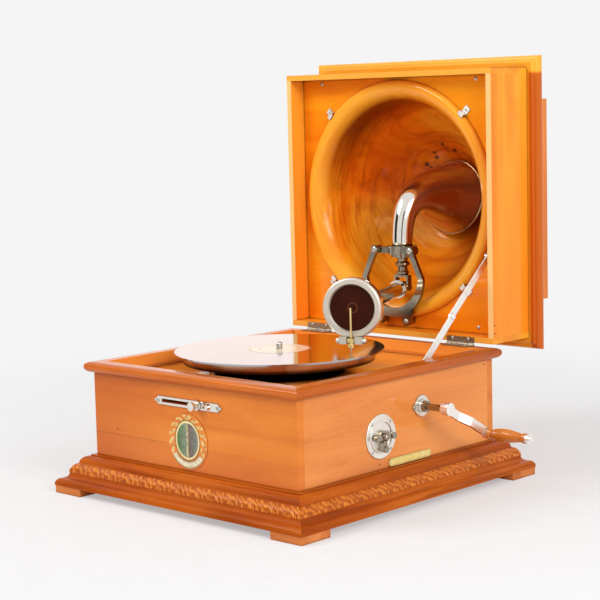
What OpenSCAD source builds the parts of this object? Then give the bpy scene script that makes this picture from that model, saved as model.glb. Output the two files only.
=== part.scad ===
// Table gramophone: carved-plinth case, spring motor, turntable, and a lid
// that carries a turned sound bowl, the horn elbow and the tone arm.
// Origin: on the table, under the middle of the case. +X right, -Y front, +Z up.

/* [Case] */
// Width of the case body
case_w = 330; // [310:1:380]
// Depth of the case body
case_d = 348; // [330:1:400]
// Height of the case boards, from the plinth's bottom to the rim
case_h = 135.2; // [125:0.1:170]
// Thickness of the case boards
case_board = 10.4; // [8:0.2:14]
// Height of the feet
foot_h = 9.1; // [6:0.1:14]
// Side of a corner foot
foot_w = 46; // [36:1:60]
// How far the feet sit in from the plinth's edge
foot_inset = 0.5; // [0.5:0.5:6]
// Height of the plinth moulding
plinth_h = 35.8; // [30:0.1:45]
// How far the plinth moulding stands out
plinth_out = 37.3; // [30:0.1:45]
// Height of the rim moulding
rim_h = 12.9; // [10:0.1:18]
// How far the rim moulding stands out
rim_out = 8.8; // [5:0.1:12]
// Thickness of the bottom board
bottom_t = 8; // [5:0.5:12]
// Depth of the deck below the top of the rim
deck_drop = 17.2; // [14:0.1:24]
// Thickness of the deck
deck_t = 9; // [6:0.5:12]
// Side of a corner post under the deck
post_w = 18; // [12:1:24]

/* [Turntable] */
// Place of the spindle, measured from the middle of the case
spindle_y = -25.6; // [-34:0.1:-10]
// Radius of the spindle
spindle_r = 3.6; // [3:0.05:4]
// Radius of the platter
platter_r = 114.3; // [105:0.1:118]
// Thickness of the pressed platter
platter_t = 1.6; // [1.2:0.1:2.5]
// Depth of the platter's skirt
skirt_h = 9.6; // [9:0.1:12]
// Thickness of the felt mat
felt_t = 1.5; // [1:0.1:3]
// Radius of the record
record_r = 125; // [118:0.5:127]
// Thickness of the record
record_t = 2; // [1.5:0.1:2.5]
// Height of the record's top above the rim
record_rise = 10.7; // [9:0.1:14]

/* [Motor] */
// Height between the motor's two plates
motor_h = 67; // [64:1:70]
// Thickness of the motor plates
motor_plate_t = 3; // [2:0.5:4]
// Gap between the upper motor plate and the deck
motor_drop = 6; // [5:0.5:9]
// Radius of the spring barrel
barrel_r = 36; // [33:0.5:37]
// Height of the spring barrel
barrel_h = 25; // [20:1:25]
// Radius of the winding arbor
arbor_r = 5; // [4:0.1:6]

/* [Crank] */
// Place of the crank behind the middle of the case
crank_y = 35.8; // [30:0.1:45]
// Depth of the crank below the rim moulding
crank_drop = 37.3; // [34:0.1:42]
// Radius of the crank shaft
crank_r = 4; // [3:0.1:5]
// Length of the crank arm
crank_len = 73.7; // [60:0.1:78]
// Angle of the resting crank below the level
crank_rest = 30.1; // [0:0.1:90]
// Length of the wooden handle
handle_len = 52; // [40:1:60]
// Greatest radius of the wooden handle
handle_r = 8; // [6:0.1:10]

/* [Fittings] */
// Height of the slot plate below the rim moulding
slot_drop = 21.3; // [20:0.1:26]
// Length of the slot plate
slot_plate_l = 110; // [100:1:120]
// Travel of the stop knob
stop_travel = 55; // [30:1:56]
// Place of the regulator in front of the middle of the case
regulator_y = -37.5; // [-60:0.1:-25]
// Depth of the regulator below the rim moulding
regulator_drop = 61.3; // [55:0.1:66]
// Radius of the regulator plate
regulator_r = 25.6; // [22:0.1:28]
// Radius of the front medallion
badge_r = 32.5; // [24:0.1:34]

/* [Lid] */
// Width of the lid frame
lid_w = 332; // [324:1:340]
// Depth of the lid frame
lid_d = 75; // [70:1:90]
// Thickness of the lid boards
lid_board = 7; // [6:0.1:9]
// Depth of the panel behind the lid's front edge
panel_set = 25; // [22:0.5:32]
// Thickness of the panel
panel_t = 9; // [6:0.5:12]
// Gap between the open lid and the rim
lid_gap = 3.9; // [3:0.1:4.5]
// How far the back moulding stands out beside the lid frame
back_out = 15; // [12:0.5:24]
// Thickness of the back moulding
back_t = 14.5; // [12:0.5:18]
// Width of the raised square block behind the lid
block_w = 252; // [246:1:280]
// Depth of the raised block
block_d = 86; // [84:0.5:95]
// Thickness of the block's walls
block_wall = 4.5; // [4:0.5:7]

/* [Sound bowl] */
// Outer radius of the bowl's lip
bowl_r = 151.5; // [140:0.5:152]
// Height of the bowl's lip above the lid's bottom board
bowl_foot = 12.9; // [10:0.1:18]
// Gap between the bowl's lip and the lid's top board
bowl_head = 2.9; // [0.3:0.1:8]
// Inner radius of the bowl behind its lip
bowl_in = 124; // [116:0.5:124]
// How far the lip stands in front of the panel
lip_out = 6; // [4:0.5:9]
// Depth of the bowl behind its lip's inner edge
bowl_depth = 128; // [110:1:130]
// Radius of the crest of the bowl's rolled lip
lip_crest = 145; // [143:0.5:148]
// Depth of the roll that leads into the bowl
lip_roll = 36; // [30:0.5:40]
// Thickness of the bowl's wall
bowl_wall = 6; // [4:0.5:6.5]

/* [Tone arm] */
// Height of the bearing ring's underside above the rim
ring_h = 104.8; // [100:0.5:112]
// Depth of the swing axis behind the lid's front edge
swing_set = 32.5; // [30:0.5:34]
// Height of the knee above the rim
knee_h = 61.8; // [60:0.2:64]
// Length of the arm from the knee to the sound box's face
arm_len = 225; // [215:0.5:228]
// Angle of the resting arm to the right of straight ahead
arm_angle = 23.8; // [20:0.1:26]
// Radius of the arm tube
arm_r = 9.5; // [8:0.1:10]
// Radius of the sound box
soundbox_r = 35.5; // [32:0.1:38]
// Thickness of the sound box
soundbox_t = 20; // [17:0.5:24]
// Radius of the diaphragm
diaphragm_r = 27; // [24:0.1:28]
// Radius of the bracket's outer legs
bracket_w = 50; // [47:0.5:54]
// Radius of the horn elbow's mouth
mouth_r = 49; // [42:0.5:52]
// Radius of the horn elbow at the ring
throat_r = 13.5; // [12.5:0.1:15]

/* [Clearances] */
// Radial clearance of a running fit
run_fit = 0.06; // [0.03:0.01:0.1]
// Gap between moving pieces that do not touch
part_gap = 0.3; // [0.3:0.05:0.6]
// Clearance round a screw's shank
screw_fit = 0.05; // [0.02:0.01:0.1]

/* [Hidden] */
$fn = 64;
eps = 0.01;

oak = "#c8742c";
dark_oak = "#a0521d";
pale_wood = "#e88a34";
nickel = "#c9c9c4";
steel = "#8d9094";
brass = "#c9a13c";
black = "#2a211e";

// heights of the case
body_top = foot_h + case_h;
rim_top = body_top + rim_h;
deck_top = rim_top - deck_drop;
deck_bottom = deck_top - deck_t;
plinth_top = foot_h + plinth_h;
record_top = rim_top + record_rise;
felt_top = record_top - record_t;
platter_top = felt_top - felt_t;
floor_top = foot_h + 3 + bottom_t;
inner_w = case_w - 2 * case_board;
inner_d = case_d - 2 * case_board;
side_x = case_w / 2;
front_y = -case_d / 2;

// motor
motor_top = deck_bottom - motor_drop;
plate_under = motor_top - motor_plate_t;
base_top = plate_under - motor_h;
base_z = base_top - motor_plate_t;
crank_z = body_top - crank_drop;
arbor_x = 60;
spindle_pinion_r = 5;
train_wheel_r = 36;
train_pinion_r = 6;
great_wheel_r = barrel_r + 2;
wheel_gap = 0.4;
worm_wheel_r = 22;
worm_r = 4;
train_run = great_wheel_r + train_pinion_r + wheel_gap;
train_span = norm([arbor_x, crank_y - spindle_y]);
train_x = arbor_x * (1 - train_run / train_span);
train_y = crank_y + (spindle_y - crank_y) * train_run / train_span;
barrel_z = base_top + 5;
train_z = barrel_z + barrel_h + 1.5;
crown_z = train_z + 4;
governor_y = spindle_y - worm_wheel_r - worm_r - wheel_gap;
governor_z = plate_under - 12.5;
pinion_x = arbor_x + 14;
governor_lugs = [-66, 20];
crank_lug = pinion_x + 18;

// fittings
slot_z = body_top - slot_drop;
knob_x = 13.4;
knob_r = 5.5;
stem_r = 1.8;
slot_h = 4;
slot_plate_x = -3;
regulator_z = body_top - regulator_drop;
regulator_shaft_r = 3.5;
plate_t = 1.5;
brake_pivot = [45, -133];
brake_pad = [-8, -130.6];

// hinges and lid
leaf_t = 1.2;
barrel_knuckle_r = 1.9;
hinge_l = 41;
hinge_x = 117;
lid_y = case_d / 2 + 1.5;
hinge_y = lid_y - leaf_t;
hinge_z = rim_top + leaf_t;
lid_z = rim_top + lid_gap;
lid_h = 2 * (lid_board + bowl_r) + bowl_foot + bowl_head;
lid_mid = lid_z + lid_h / 2;
lid_back = lid_y + lid_d;
panel_y = lid_y + panel_set;
bowl_z = lid_z + lid_board + bowl_foot + bowl_r;
bowl_neck = lip_crest - 8;
clip_z = lip_out - 0.4;
back_y = lid_back + back_t;
block_z = lid_mid - 0.9;
block_h = 258;

// stay, as places in the side view
stay_foot = [58, rim_top - 7.2];
stay_knee = [115.5, rim_top + 43.8];
stay_head = [lid_y + 16.5, rim_top + 108.8];
link_w = 8.5;
link_t = 1.6;
stay_x = side_x - case_board - 2.8;
stud_r = 2.4;

// arm carrier
swing_y = lid_y + swing_set;
ring_z = rim_top + ring_h;
ring_t = 11;
ring_r = 19;
spigot_r = 9;
knee_z = rim_top + knee_h;
ball_r = 8;
duct_r = 3.5;
pin_r = 2;
cheek_t = 2.5;
cheek_r = 4.8;
cheek_x = ball_r + 2 * part_gap;
lift_u = 17;
tongue_r = 5.5;
flange_u = 25;
bracket_y = panel_y - 12;
bracket_t = 5;
bar_z = ring_z + 6;
boss_x = 29;
lug_x = 22;
lug_r = 4;
lug_z = bowl_z - sqrt(pow(bowl_r + lug_r + part_gap, 2) - pow(lug_x, 2));
soundbox_back = arm_len - soundbox_t;
nozzle_r = arm_r - 1.5;
needle_drop = knee_z - record_top - 0.2;

// ---- shared shapes ----

function arc(cx, cy, rx, ry, a0, a1, n) =
  [for (i = [0:n]) let (a = a0 + (a1 - a0) * i / n) [cx + rx * cos(a), cy + ry * sin(a)]];

module box(x0, x1, y0, y1, z0, z1) {
  translate([x0, y0, z0]) cube([x1 - x0, y1 - y0, z1 - z0]);
}

module rod_x(r, x0, x1) {
  translate([x0, 0, 0]) rotate([0, 90, 0]) cylinder(r = r, h = x1 - x0);
}

module rod_y(r, y0, y1) {
  translate([0, y0, 0]) rotate([-90, 0, 0]) cylinder(r = r, h = y1 - y0);
}

module tube(r_out, r_in, h) {
  difference() {
    cylinder(r = r_out, h = h);
    translate([0, 0, -1]) cylinder(r = r_in, h = h + 2);
  }
}

// flat bar with round ends, from the origin along +X
module round_bar(l, w) {
  translate([0, -w / 2]) square([l, w]);
  circle(r = w / 2);
  translate([l, 0]) circle(r = w / 2);
}

module round_rect(w, d, r) {
  square([w - 2 * r, d], center = true);
  square([w, d - 2 * r], center = true);
  for (sx = [-1, 1], sy = [-1, 1])
    translate([sx * (w / 2 - r), sy * (d / 2 - r)]) circle(r = r);
}

// one mitred length of moulding that faces -Y; profile is [stand-out, height]
module moulding_side(l, into, out, profile, top) {
  intersection() {
    translate([-l / 2 - out, 0, 0]) rotate([90, 0, 90])
      linear_extrude(l + 2 * out) polygon([for (p = profile) [-p[0], p[1]]]);
    translate([0, 0, -1]) linear_extrude(top + 2)
      polygon([[into - l / 2, into], [l / 2 - into, into], [l / 2 + out, -out], [-l / 2 - out, -out]]);
  }
}

module mitred_ring(w, d, into, out, profile, top) {
  for (side = [0, 1]) rotate([0, 0, 180 * side]) {
    translate([0, -d / 2, 0]) moulding_side(w, into, out, profile, top);
    rotate([0, 0, 90]) translate([0, -w / 2, 0]) moulding_side(d, into, out, profile, top);
  }
}

// toothed wheel with n square-ended teeth
module toothed_disc(r, n, h, tooth = 1.2) {
  linear_extrude(h)
    polygon([for (i = [0:n - 1], k = [[0, r - tooth], [0.12, r], [0.42, r], [0.54, r - tooth]])
      k[1] * [cos(360 * (i + k[0]) / n), sin(360 * (i + k[0]) / n)]]);
}

// domed screw that faces +Z, or only its shank with some clearance for cutting
module screw(head_r, shank_r, shank_l, cut = 0) {
  translate([0, 0, -shank_l]) cylinder(r = shank_r + cut, h = shank_l + eps);
  if (cut == 0) rotate_extrude()
    polygon(concat([[0, 0]], arc(0, 0, head_r, head_r * 0.45, 0, 90, 6)));
}

module face_right(y, z, x = side_x) {
  translate([x, y, z]) rotate([0, 90, 0]) children();
}

module face_front(x, z, y = front_y) {
  translate([x, y, z]) rotate([90, 0, 0]) children();
}

module at_spindle(z = 0) {
  translate([0, spindle_y, z]) children();
}

module at_arm() {
  translate([0, swing_y, knee_z]) rotate([0, 0, arm_angle - 90]) children();
}

module at_bowl() {
  translate([0, 0, bowl_z]) rotate([90, 0, 0]) mirror([0, 0, 1]) children();
}

// ---- screw places ----

module case_screw_set(cut = 0) {
  for (x = [-1, 1]) face_front(slot_plate_x + x * (slot_plate_l / 2 - 6), slot_z, front_y - leaf_t)
    screw(2.6, 1.2, 7, cut);
  for (a = [45:90:315])
    face_right(regulator_y + (regulator_r - 3.4) * cos(a), regulator_z + (regulator_r - 3.4) * sin(a),
      side_x + plate_t)
      screw(2, 1.1, 7, cut);
  for (s = [-1, 1]) face_right(crank_y + s * 13, crank_z, side_x + plate_t) screw(2, 1.1, 7, cut);
  for (s = [-1, 1]) face_right(13 + s * 36, plinth_top + 5.4, side_x + plate_t) screw(0.9, 0.6, 5, cut);
  for (s = [-1, 1], t = [-1, 1])
    translate([s * hinge_x + t * 12, hinge_y - 6.6, rim_top + leaf_t]) screw(2.2, 1.1, 6, cut);
}

module lid_screw_set(cut = 0) {
  for (s = [-1, 1]) {
    for (z = [lid_z + 15, lid_z + lid_h - 12])
      translate([s * (lid_w / 2 - 40), panel_y, z]) rotate([90, 0, 0]) screw(2.6, 1.3, 6, cut);
    translate([s * lug_x, bracket_y - bracket_t / 2, lug_z]) rotate([90, 0, 0])
      screw(3.4, 1.8, bracket_t + 14, cut);
    translate([s * boss_x, bracket_y - bracket_t / 2, bar_z]) rotate([90, 0, 0]) screw(4.2, 1.8, 9, cut);
    for (t = [-1, 1])
      translate([s * hinge_x + t * 12, lid_y - leaf_t, hinge_z + 6.6]) rotate([90, 0, 0])
        screw(2.2, 1.1, 5, cut);
    for (t = [-1, 1]) rotate_clip(s, t) translate([bowl_r + 6.4, 0, leaf_t]) screw(1.9, 1, 5, cut);
  }
}

// puts a clip's own frame on the panel, +X away from the bowl's centre, +Z to the front
module rotate_clip(s, t) {
  translate([0, panel_y, bowl_z]) rotate([90, 0, 0]) rotate([0, 0, atan2(t, s)]) children();
}

// ---- case ----

module board_x(y0, y1) {
  box(-side_x, side_x, y0, y1, foot_h, body_top);
}

module front_board() {
  color(oak) difference() {
    board_x(front_y, front_y + case_board);
    case_screw_set(screw_fit);
    stem_slot(front_y - 1, front_y + case_board + 1);
  }
}

// slot for the stop knob's stem, as long as its travel
module stem_slot(y0, y1) {
  box(knob_x - stop_travel - stem_r - 2, knob_x + stem_r + 2, y0, y1,
    slot_z - slot_h / 2, slot_z + slot_h / 2);
}

module back_board() {
  color(oak) board_x(-front_y - case_board, -front_y);
}

module side_board(s) {
  x = side_x - case_board / 2;
  translate([s * x, 0, (foot_h + body_top) / 2]) cube([case_board, inner_d, case_h], center = true);
}

module left_board() {
  color(oak) side_board(-1);
}

module right_board() {
  color(oak) difference() {
    side_board(1);
    case_screw_set(screw_fit);
    face_right(crank_y, crank_z, side_x - case_board - 1) cylinder(r = crank_r + 2, h = case_board + 2);
    face_right(regulator_y, regulator_z, side_x - case_board - 1)
      cylinder(r = regulator_shaft_r + 1.5, h = case_board + 2);
  }
}

module bottom_board() {
  color(dark_oak) box(-inner_w / 2, inner_w / 2, -inner_d / 2, inner_d / 2, foot_h + 3, floor_top);
}

// bead and cove of the plinth, as [stand-out, height]
function plinth_profile() = let (o = plinth_out, z = foot_h, h = plinth_h) concat(
  [[0, z]],
  arc(o - 6, z, 6, h * 0.22, 0, 90, 7),
  arc(o - 6, z + h * 0.4, 7.3, h * 0.18, 270, 180, 6),
  arc(o * 0.43 - 4, z + h * 0.4, o * 0.64 - o * 0.43 + 4, h * 0.325, 0, 68, 8),
  arc(5.2, z + h * 0.725, 10.5, h * 0.235, 360, 450, 6),
  [[5.2, z + h], [0, z + h]]);

module plinth_moulding() {
  color(dark_oak) difference() {
    mitred_ring(case_w, case_d, 0, plinth_out, plinth_profile(), plinth_top);
    case_screw_set(screw_fit);
  }
}

function rim_profile() = let (o = rim_out, z = body_top, h = rim_h) concat(
  [[-case_board, z], [0, z]],
  arc(0, z + h * 0.52, o, h * 0.52, 290, 360, 6),
  [[o, z + h * 0.62]],
  arc(o - 8, z + h * 0.62, 8, h * 0.38, 15, 90, 7),
  [[-case_board, z + h]]);

module rim_moulding() {
  color(oak) difference() {
    mitred_ring(case_w, case_d, case_board, rim_out, rim_profile(), rim_top);
    case_screw_set(screw_fit);
    hinge_mortise();
    translate([0, stay_foot[0], stay_foot[1]])
      rod_x(stud_r + screw_fit, side_x - case_board - 1, side_x - 3);
  }
}

// room for the hinge knuckles in the rim and in the lid's lower board
module hinge_mortise() {
  for (s = [-1, 1])
    translate([s * hinge_x, hinge_y, hinge_z])
      rod_x(barrel_knuckle_r + part_gap, -hinge_l / 2 - part_gap, hinge_l / 2 + part_gap);
}

module feet() {
  fx = side_x + plinth_out - foot_inset - foot_w / 2;
  fy = -front_y + plinth_out - foot_inset - foot_w / 2;
  color(dark_oak) for (sx = [-1, 1], sy = [-1, 1])
    translate([sx * fx, sy * fy, 0]) linear_extrude(foot_h) round_rect(foot_w, foot_w, 1.5);
}

module corner_posts() {
  px = (inner_w - post_w) / 2;
  py = (inner_d - post_w) / 2;
  color(pale_wood) for (sx = [-1, 1], sy = [-1, 1])
    translate([sx * px, sy * py, (floor_top + deck_bottom) / 2])
      cube([post_w, post_w, deck_bottom - floor_top], center = true);
}

// deck that the turntable runs over
module motor_board() {
  color(oak) difference() {
    box(-inner_w / 2, inner_w / 2, -inner_d / 2, inner_d / 2, deck_bottom, deck_top);
    at_spindle(deck_bottom - 1) cylinder(r = spindle_r + 5, h = deck_t + 2);
    translate([brake_pad[0], brake_pad[1], deck_bottom - 1]) cylinder(r = 7, h = deck_t + 2);
    translate([brake_pivot[0], brake_pivot[1], deck_bottom - 1]) cylinder(r = 2.5 + run_fit, h = 6);
    pillar_places() translate([0, 0, deck_bottom - 1]) cylinder(r = 2 + screw_fit, h = 7);
  }
}

module hinge_knuckles(first, count) {
  piece = hinge_l / 5;
  for (s = [-1, 1], i = [0:count - 1])
    translate([s * hinge_x, hinge_y, hinge_z])
      rod_x(barrel_knuckle_r, -hinge_l / 2 + (first + 2 * i) * piece + part_gap / 2,
        -hinge_l / 2 + (first + 2 * i + 1) * piece - part_gap / 2);
}

module hinge_pin(r) {
  for (s = [-1, 1]) translate([s * hinge_x, hinge_y, hinge_z])
    rod_x(r, -hinge_l / 2 + part_gap, hinge_l / 2 - part_gap);
}

module leaf_plate(y0, y1, z0, z1) {
  for (s = [-1, 1]) box(s * hinge_x - hinge_l / 2, s * hinge_x + hinge_l / 2, y0, y1, z0, z1);
}

// the three outer knuckles hold the pin
module hinge_case_leaves() {
  reach = barrel_knuckle_r + part_gap;
  color(nickel) difference() {
    union() {
      leaf_plate(hinge_y - 11.5, hinge_y - reach, rim_top, rim_top + leaf_t);
      intersection() {
        leaf_plate(hinge_y - reach - 1, hinge_y, rim_top, rim_top + leaf_t);
        knuckle_slices(0, 3);
      }
      hinge_knuckles(0, 3);
      hinge_pin(1);
    }
    case_screw_set(screw_fit);
  }
}

module knuckle_slices(first, count) {
  piece = hinge_l / 5;
  for (s = [-1, 1], i = [0:count - 1])
    box(s * hinge_x - hinge_l / 2 + (first + 2 * i) * piece + part_gap / 2,
      s * hinge_x - hinge_l / 2 + (first + 2 * i + 1) * piece - part_gap / 2,
      hinge_y - 10, hinge_y + 10, hinge_z - 10, hinge_z + 10);
}

// ---- fittings on the case ----

module slot_plate() {
  half = slot_plate_l / 2;
  point = 7;
  color(nickel) difference() {
    union() {
      face_front(slot_plate_x, slot_z) linear_extrude(leaf_t)
        polygon([[-half, 0], [-half + point, 4.7], [half - point, 4.7], [half, 0],
          [half - point, -4.7], [-half + point, -4.7]]);
      face_front(knob_x + 17, slot_z, front_y - leaf_t) cylinder(r1 = 4, r2 = 2.6, h = 3);
    }
    case_screw_set(screw_fit);
    stem_slot(front_y - leaf_t - 1, front_y + 1);
  }
}

module stop_knob() {
  inside = front_y + case_board + part_gap;
  color(nickel) translate([knob_x, 0, slot_z]) {
    rod_y(stem_r, front_y - leaf_t - 1, inside + 3);
    rod_y(knob_r, front_y - leaf_t - part_gap - 2, front_y - leaf_t - part_gap);
    rod_y(3.4, front_y - leaf_t - 9, front_y - leaf_t - 2);
    rod_y(knob_r - 0.5, front_y - leaf_t - 11, front_y - leaf_t - 8.5);
    rod_y(4.5, inside, inside + 3);
  }
}

module regulator_plate() {
  color(nickel) difference() {
    face_right(regulator_y, regulator_z) rotate_extrude()
      polygon(concat([[regulator_shaft_r + run_fit, 0], [regulator_r, 0]],
        arc(regulator_r - 1, 0.5, 1, 1, 0, 90, 4),
        [[19, plate_t], [18.4, plate_t + 1.2], [17, plate_t + 1.4], [16.4, plate_t],
        [regulator_shaft_r + run_fit, plate_t]]));
    case_screw_set(screw_fit);
  }
}

module regulator_handle() {
  color(nickel) face_right(regulator_y, regulator_z, 0) {
    translate([0, 0, side_x - 45]) cylinder(r = regulator_shaft_r, h = 52);
    translate([0, 0, side_x - 45]) cylinder(r = 8, h = 4);
    translate([0, 0, side_x + plate_t + part_gap]) cylinder(r = 7, h = 4);
    translate([0, 0, side_x + plate_t + 3]) linear_extrude(3.5)
      for (a = [0, 90, 270]) rotate(a) round_bar(14, 5.4);
    for (a = [0, 90, 270]) rotate(a) translate([14, 0, side_x + plate_t + 3]) cylinder(r = 3.8, h = 5);
    translate([0, 0, side_x + plate_t + 6]) sphere(r = 4.4);
  }
}

module crank_escutcheon() {
  color(nickel) difference() {
    union() {
      face_right(crank_y, crank_z) linear_extrude(plate_t) {
        circle(r = 12.5);
        polygon([[-11, -6], [11, -6], [0, -17]]);
        polygon([[-11, 6], [11, 6], [0, 17]]);
      }
      face_right(crank_y, crank_z) cylinder(r = 7.5, h = 6);
    }
    face_right(crank_y, crank_z, side_x - 1) cylinder(r = crank_r + run_fit, h = 9);
    case_screw_set(screw_fit);
  }
}

module name_plate() {
  color(brass) difference() {
    face_right(13, plinth_top + 5.4) linear_extrude(plate_t) difference() {
      square([9, 76], center = true);
      for (sx = [-1, 1], sy = [-1, 1]) translate([sx * 4.5, sy * 38]) circle(r = 2.6);
    }
    case_screw_set(screw_fit);
  }
}

module front_medallion() {
  color("#7c8a6c") face_front(-5.2, plinth_top + badge_r + 2) cylinder(r = badge_r, h = 0.6);
}

module case_screws() {
  color(steel) {
    case_screw_set();
    translate([0, stay_foot[0], stay_foot[1]]) {
      rod_x(stud_r, stay_x - 5, side_x - 4);
      rod_x(4, stay_x + part_gap, side_x - case_board);
      rod_x(4.2, stay_x - 2 * link_t - 3 * part_gap, stay_x - link_t - part_gap);
    }
  }
}

// ---- motor ----

module motor_outline() {
  translate([15.5, 3]) round_rect(179, 152, 8);
}

module pillar_places() {
  for (x = [-1, 1], y = [-1, 1]) translate([15.5 + x * 81, 3 + y * 68, 0]) children();
}

module plate_bores(z) {
  translate([0, 0, z - 1]) {
    at_spindle() cylinder(r = spindle_r + run_fit, h = motor_plate_t + 2);
    translate([arbor_x, crank_y, 0]) cylinder(r = arbor_r + run_fit, h = motor_plate_t + 2);
    translate([train_x, train_y, 0]) cylinder(r = 2.5 + run_fit, h = motor_plate_t + 2);
    pillar_places() cylinder(r = 2 + screw_fit, h = motor_plate_t + 2);
  }
}

module motor_top_plate() {
  color(steel) difference() {
    union() {
      translate([0, 0, plate_under]) linear_extrude(motor_plate_t) motor_outline();
      for (x = governor_lugs) box(x, x + 4, governor_y - 5, governor_y + 5, governor_z - 6, plate_under);
      box(crank_lug, crank_lug + 6, crank_y - 9, crank_y + 9, crank_z - 9, plate_under);
    }
    plate_bores(plate_under);
    translate([0, governor_y, governor_z]) rod_x(2 + run_fit, governor_lugs[0] - 4, governor_lugs[1] + 10);
    translate([0, crank_y, crank_z]) rod_x(crank_r + run_fit, crank_lug - 2, crank_lug + 8);
  }
}

module motor_base_plate() {
  color(steel) difference() {
    translate([0, 0, base_z]) linear_extrude(motor_plate_t) motor_outline();
    plate_bores(base_z);
  }
}

// pillars between the plates, stand-offs to the deck, and the bolts through them
module motor_pillars() {
  color(steel) pillar_places() {
    translate([0, 0, base_top]) cylinder(r = 5, h = motor_h);
    translate([0, 0, motor_top]) cylinder(r = 6, h = motor_drop);
    translate([0, 0, base_z - 3]) cylinder(r = 4, h = 3);
    translate([0, 0, base_z - 1]) cylinder(r = 2, h = deck_bottom + 5 - base_z);
  }
}

module spring_barrel() {
  color(steel) translate([arbor_x, crank_y, barrel_z]) {
    difference() {
      union() {
        toothed_disc(great_wheel_r, 72, 3);
        cylinder(r = barrel_r, h = barrel_h);
      }
      translate([0, 0, 2.5]) cylinder(r = barrel_r - 2, h = barrel_h - 5);
      translate([0, 0, -1]) cylinder(r = arbor_r + run_fit, h = barrel_h + 2);
    }
  }
}

// flat spiral, from the arbor's hub out to the barrel's wall
module mainspring() {
  inner = arbor_r + 3.8;
  outer = barrel_r - 2.9;
  turns = 8;
  steps = 24 * turns;
  strip = 0.7;
  color(steel) translate([arbor_x, crank_y, barrel_z + 3.5]) linear_extrude(barrel_h - 7)
    polygon(concat(
      [for (i = [0:steps]) let (r = inner + (outer - inner) * i / steps) r * [cos(15 * i), sin(15 * i)]],
      [for (i = [steps:-1:0]) let (r = inner + strip + (outer - inner) * i / steps)
        r * [cos(15 * i), sin(15 * i)]]));
}

module winding_arbor() {
  color(steel) translate([arbor_x, crank_y, 0]) {
    translate([0, 0, base_z]) cylinder(r = arbor_r, h = plate_under + 2 - base_z);
    translate([0, 0, barrel_z + 3]) cylinder(r = arbor_r + 3.4, h = barrel_h - 6);
    translate([0, 0, crown_z]) toothed_disc(22, 36, 4);
    translate([0, 0, crown_z - 2]) cylinder(r = arbor_r + 2, h = 2 + eps);
  }
}

module intermediate_wheel() {
  color(brass) translate([train_x, train_y, 0]) {
    translate([0, 0, base_z]) cylinder(r = 2.5, h = plate_under + 2 - base_z);
    translate([0, 0, barrel_z - 1]) toothed_disc(train_pinion_r, 12, 5);
    translate([0, 0, train_z]) toothed_disc(train_wheel_r, 72, 2);
    translate([0, 0, train_z - 3]) cylinder(r = 5, h = 8);
  }
}

module spindle() {
  color(steel) at_spindle() {
    translate([0, 0, base_z]) cylinder(r = spindle_r, h = record_top + 5 - base_z);
    translate([0, 0, record_top + 5]) sphere(r = spindle_r);
    translate([0, 0, train_z - 1.5]) toothed_disc(spindle_pinion_r, 10, 5);
    translate([0, 0, governor_z - 2]) toothed_disc(worm_wheel_r, 44, 4);
    translate([0, 0, governor_z - 5]) cylinder(r = 8, h = 9);
    translate([0, 0, deck_top + 2]) cylinder(r = 6, h = platter_top - platter_t - 6 - deck_top - 2);
  }
}

module governor_shaft() {
  color(steel) translate([0, governor_y, governor_z]) {
    rod_x(2, -67, 25);
    for (i = [0:5]) rod_x(worm_r, -8 + 2.8 * i, -6.4 + 2.8 * i);
    rod_x(worm_r - 1, -8, 8);
    rod_x(5, -60, -56);
    rod_x(5, -32, -28);
    rod_x(11, -28, -26);
  }
}

// three leaf springs with lead balls between the shaft's two collars
module governor_weights() {
  color(brass) translate([0, governor_y, governor_z])
    for (a = [0, 120, 240]) rotate([a, 0, 0]) {
      box(-60, -28, -2, 2, 5, 5.8);
      translate([-44, 0, 8]) sphere(r = 3);
    }
}

module platter() {
  r = platter_r;
  top = platter_top;
  color(nickel) at_spindle() rotate_extrude()
    polygon([[spindle_r + 0.02, top - platter_t - 6], [10, top - platter_t - 6], [10, top - platter_t],
      [r - platter_t, top - platter_t], [r - platter_t, top - skirt_h], [r, top - skirt_h], [r, top],
      [spindle_r + 0.02, top]]);
}

module felt_mat() {
  color("#5a2a1c") at_spindle(platter_top) tube(platter_r - 1, spindle_r + 0.1, felt_t);
}

module record() {
  color(black) at_spindle(felt_top) tube(record_r, spindle_r + 0.1, record_t);
}

module brake_lever() {
  t = 3;
  z = deck_bottom - 1 - t;
  reach = [brake_pad[0] - brake_pivot[0], brake_pad[1] - brake_pivot[1]];
  pad_z = platter_top - skirt_h;
  color(steel) {
    translate([brake_pivot[0], brake_pivot[1], z]) {
      rotate([0, 0, atan2(reach[1], reach[0])]) linear_extrude(t) round_bar(norm(reach), 8);
      cylinder(r = 2.5, h = t + 1 + 4.5);
      cylinder(r = 4, h = t + 1 - 0.2);
    }
    translate([brake_pad[0], brake_pad[1], z]) cylinder(r = 3, h = pad_z + 6 - z);
    translate([brake_pad[0], brake_pad[1], pad_z]) cylinder(r = 4.5, h = 7);
  }
}

// ---- crank ----

module at_crank() {
  translate([0, crank_y, crank_z]) rotate([-crank_rest, 0, 0]) children();
}

module crank_shaft() {
  color(steel) translate([0, crank_y, crank_z]) {
    rod_x(crank_r, arbor_x + 12, side_x + 42);
    rotate([0, 90, 0]) translate([0, 0, pinion_x]) toothed_disc(crank_z - crown_z - 4 - wheel_gap, 18, 8);
    rod_x(7, pinion_x + 8, pinion_x + 11);
    rod_x(6.5, side_x + 6 + part_gap, side_x + 10);
  }
}

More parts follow.
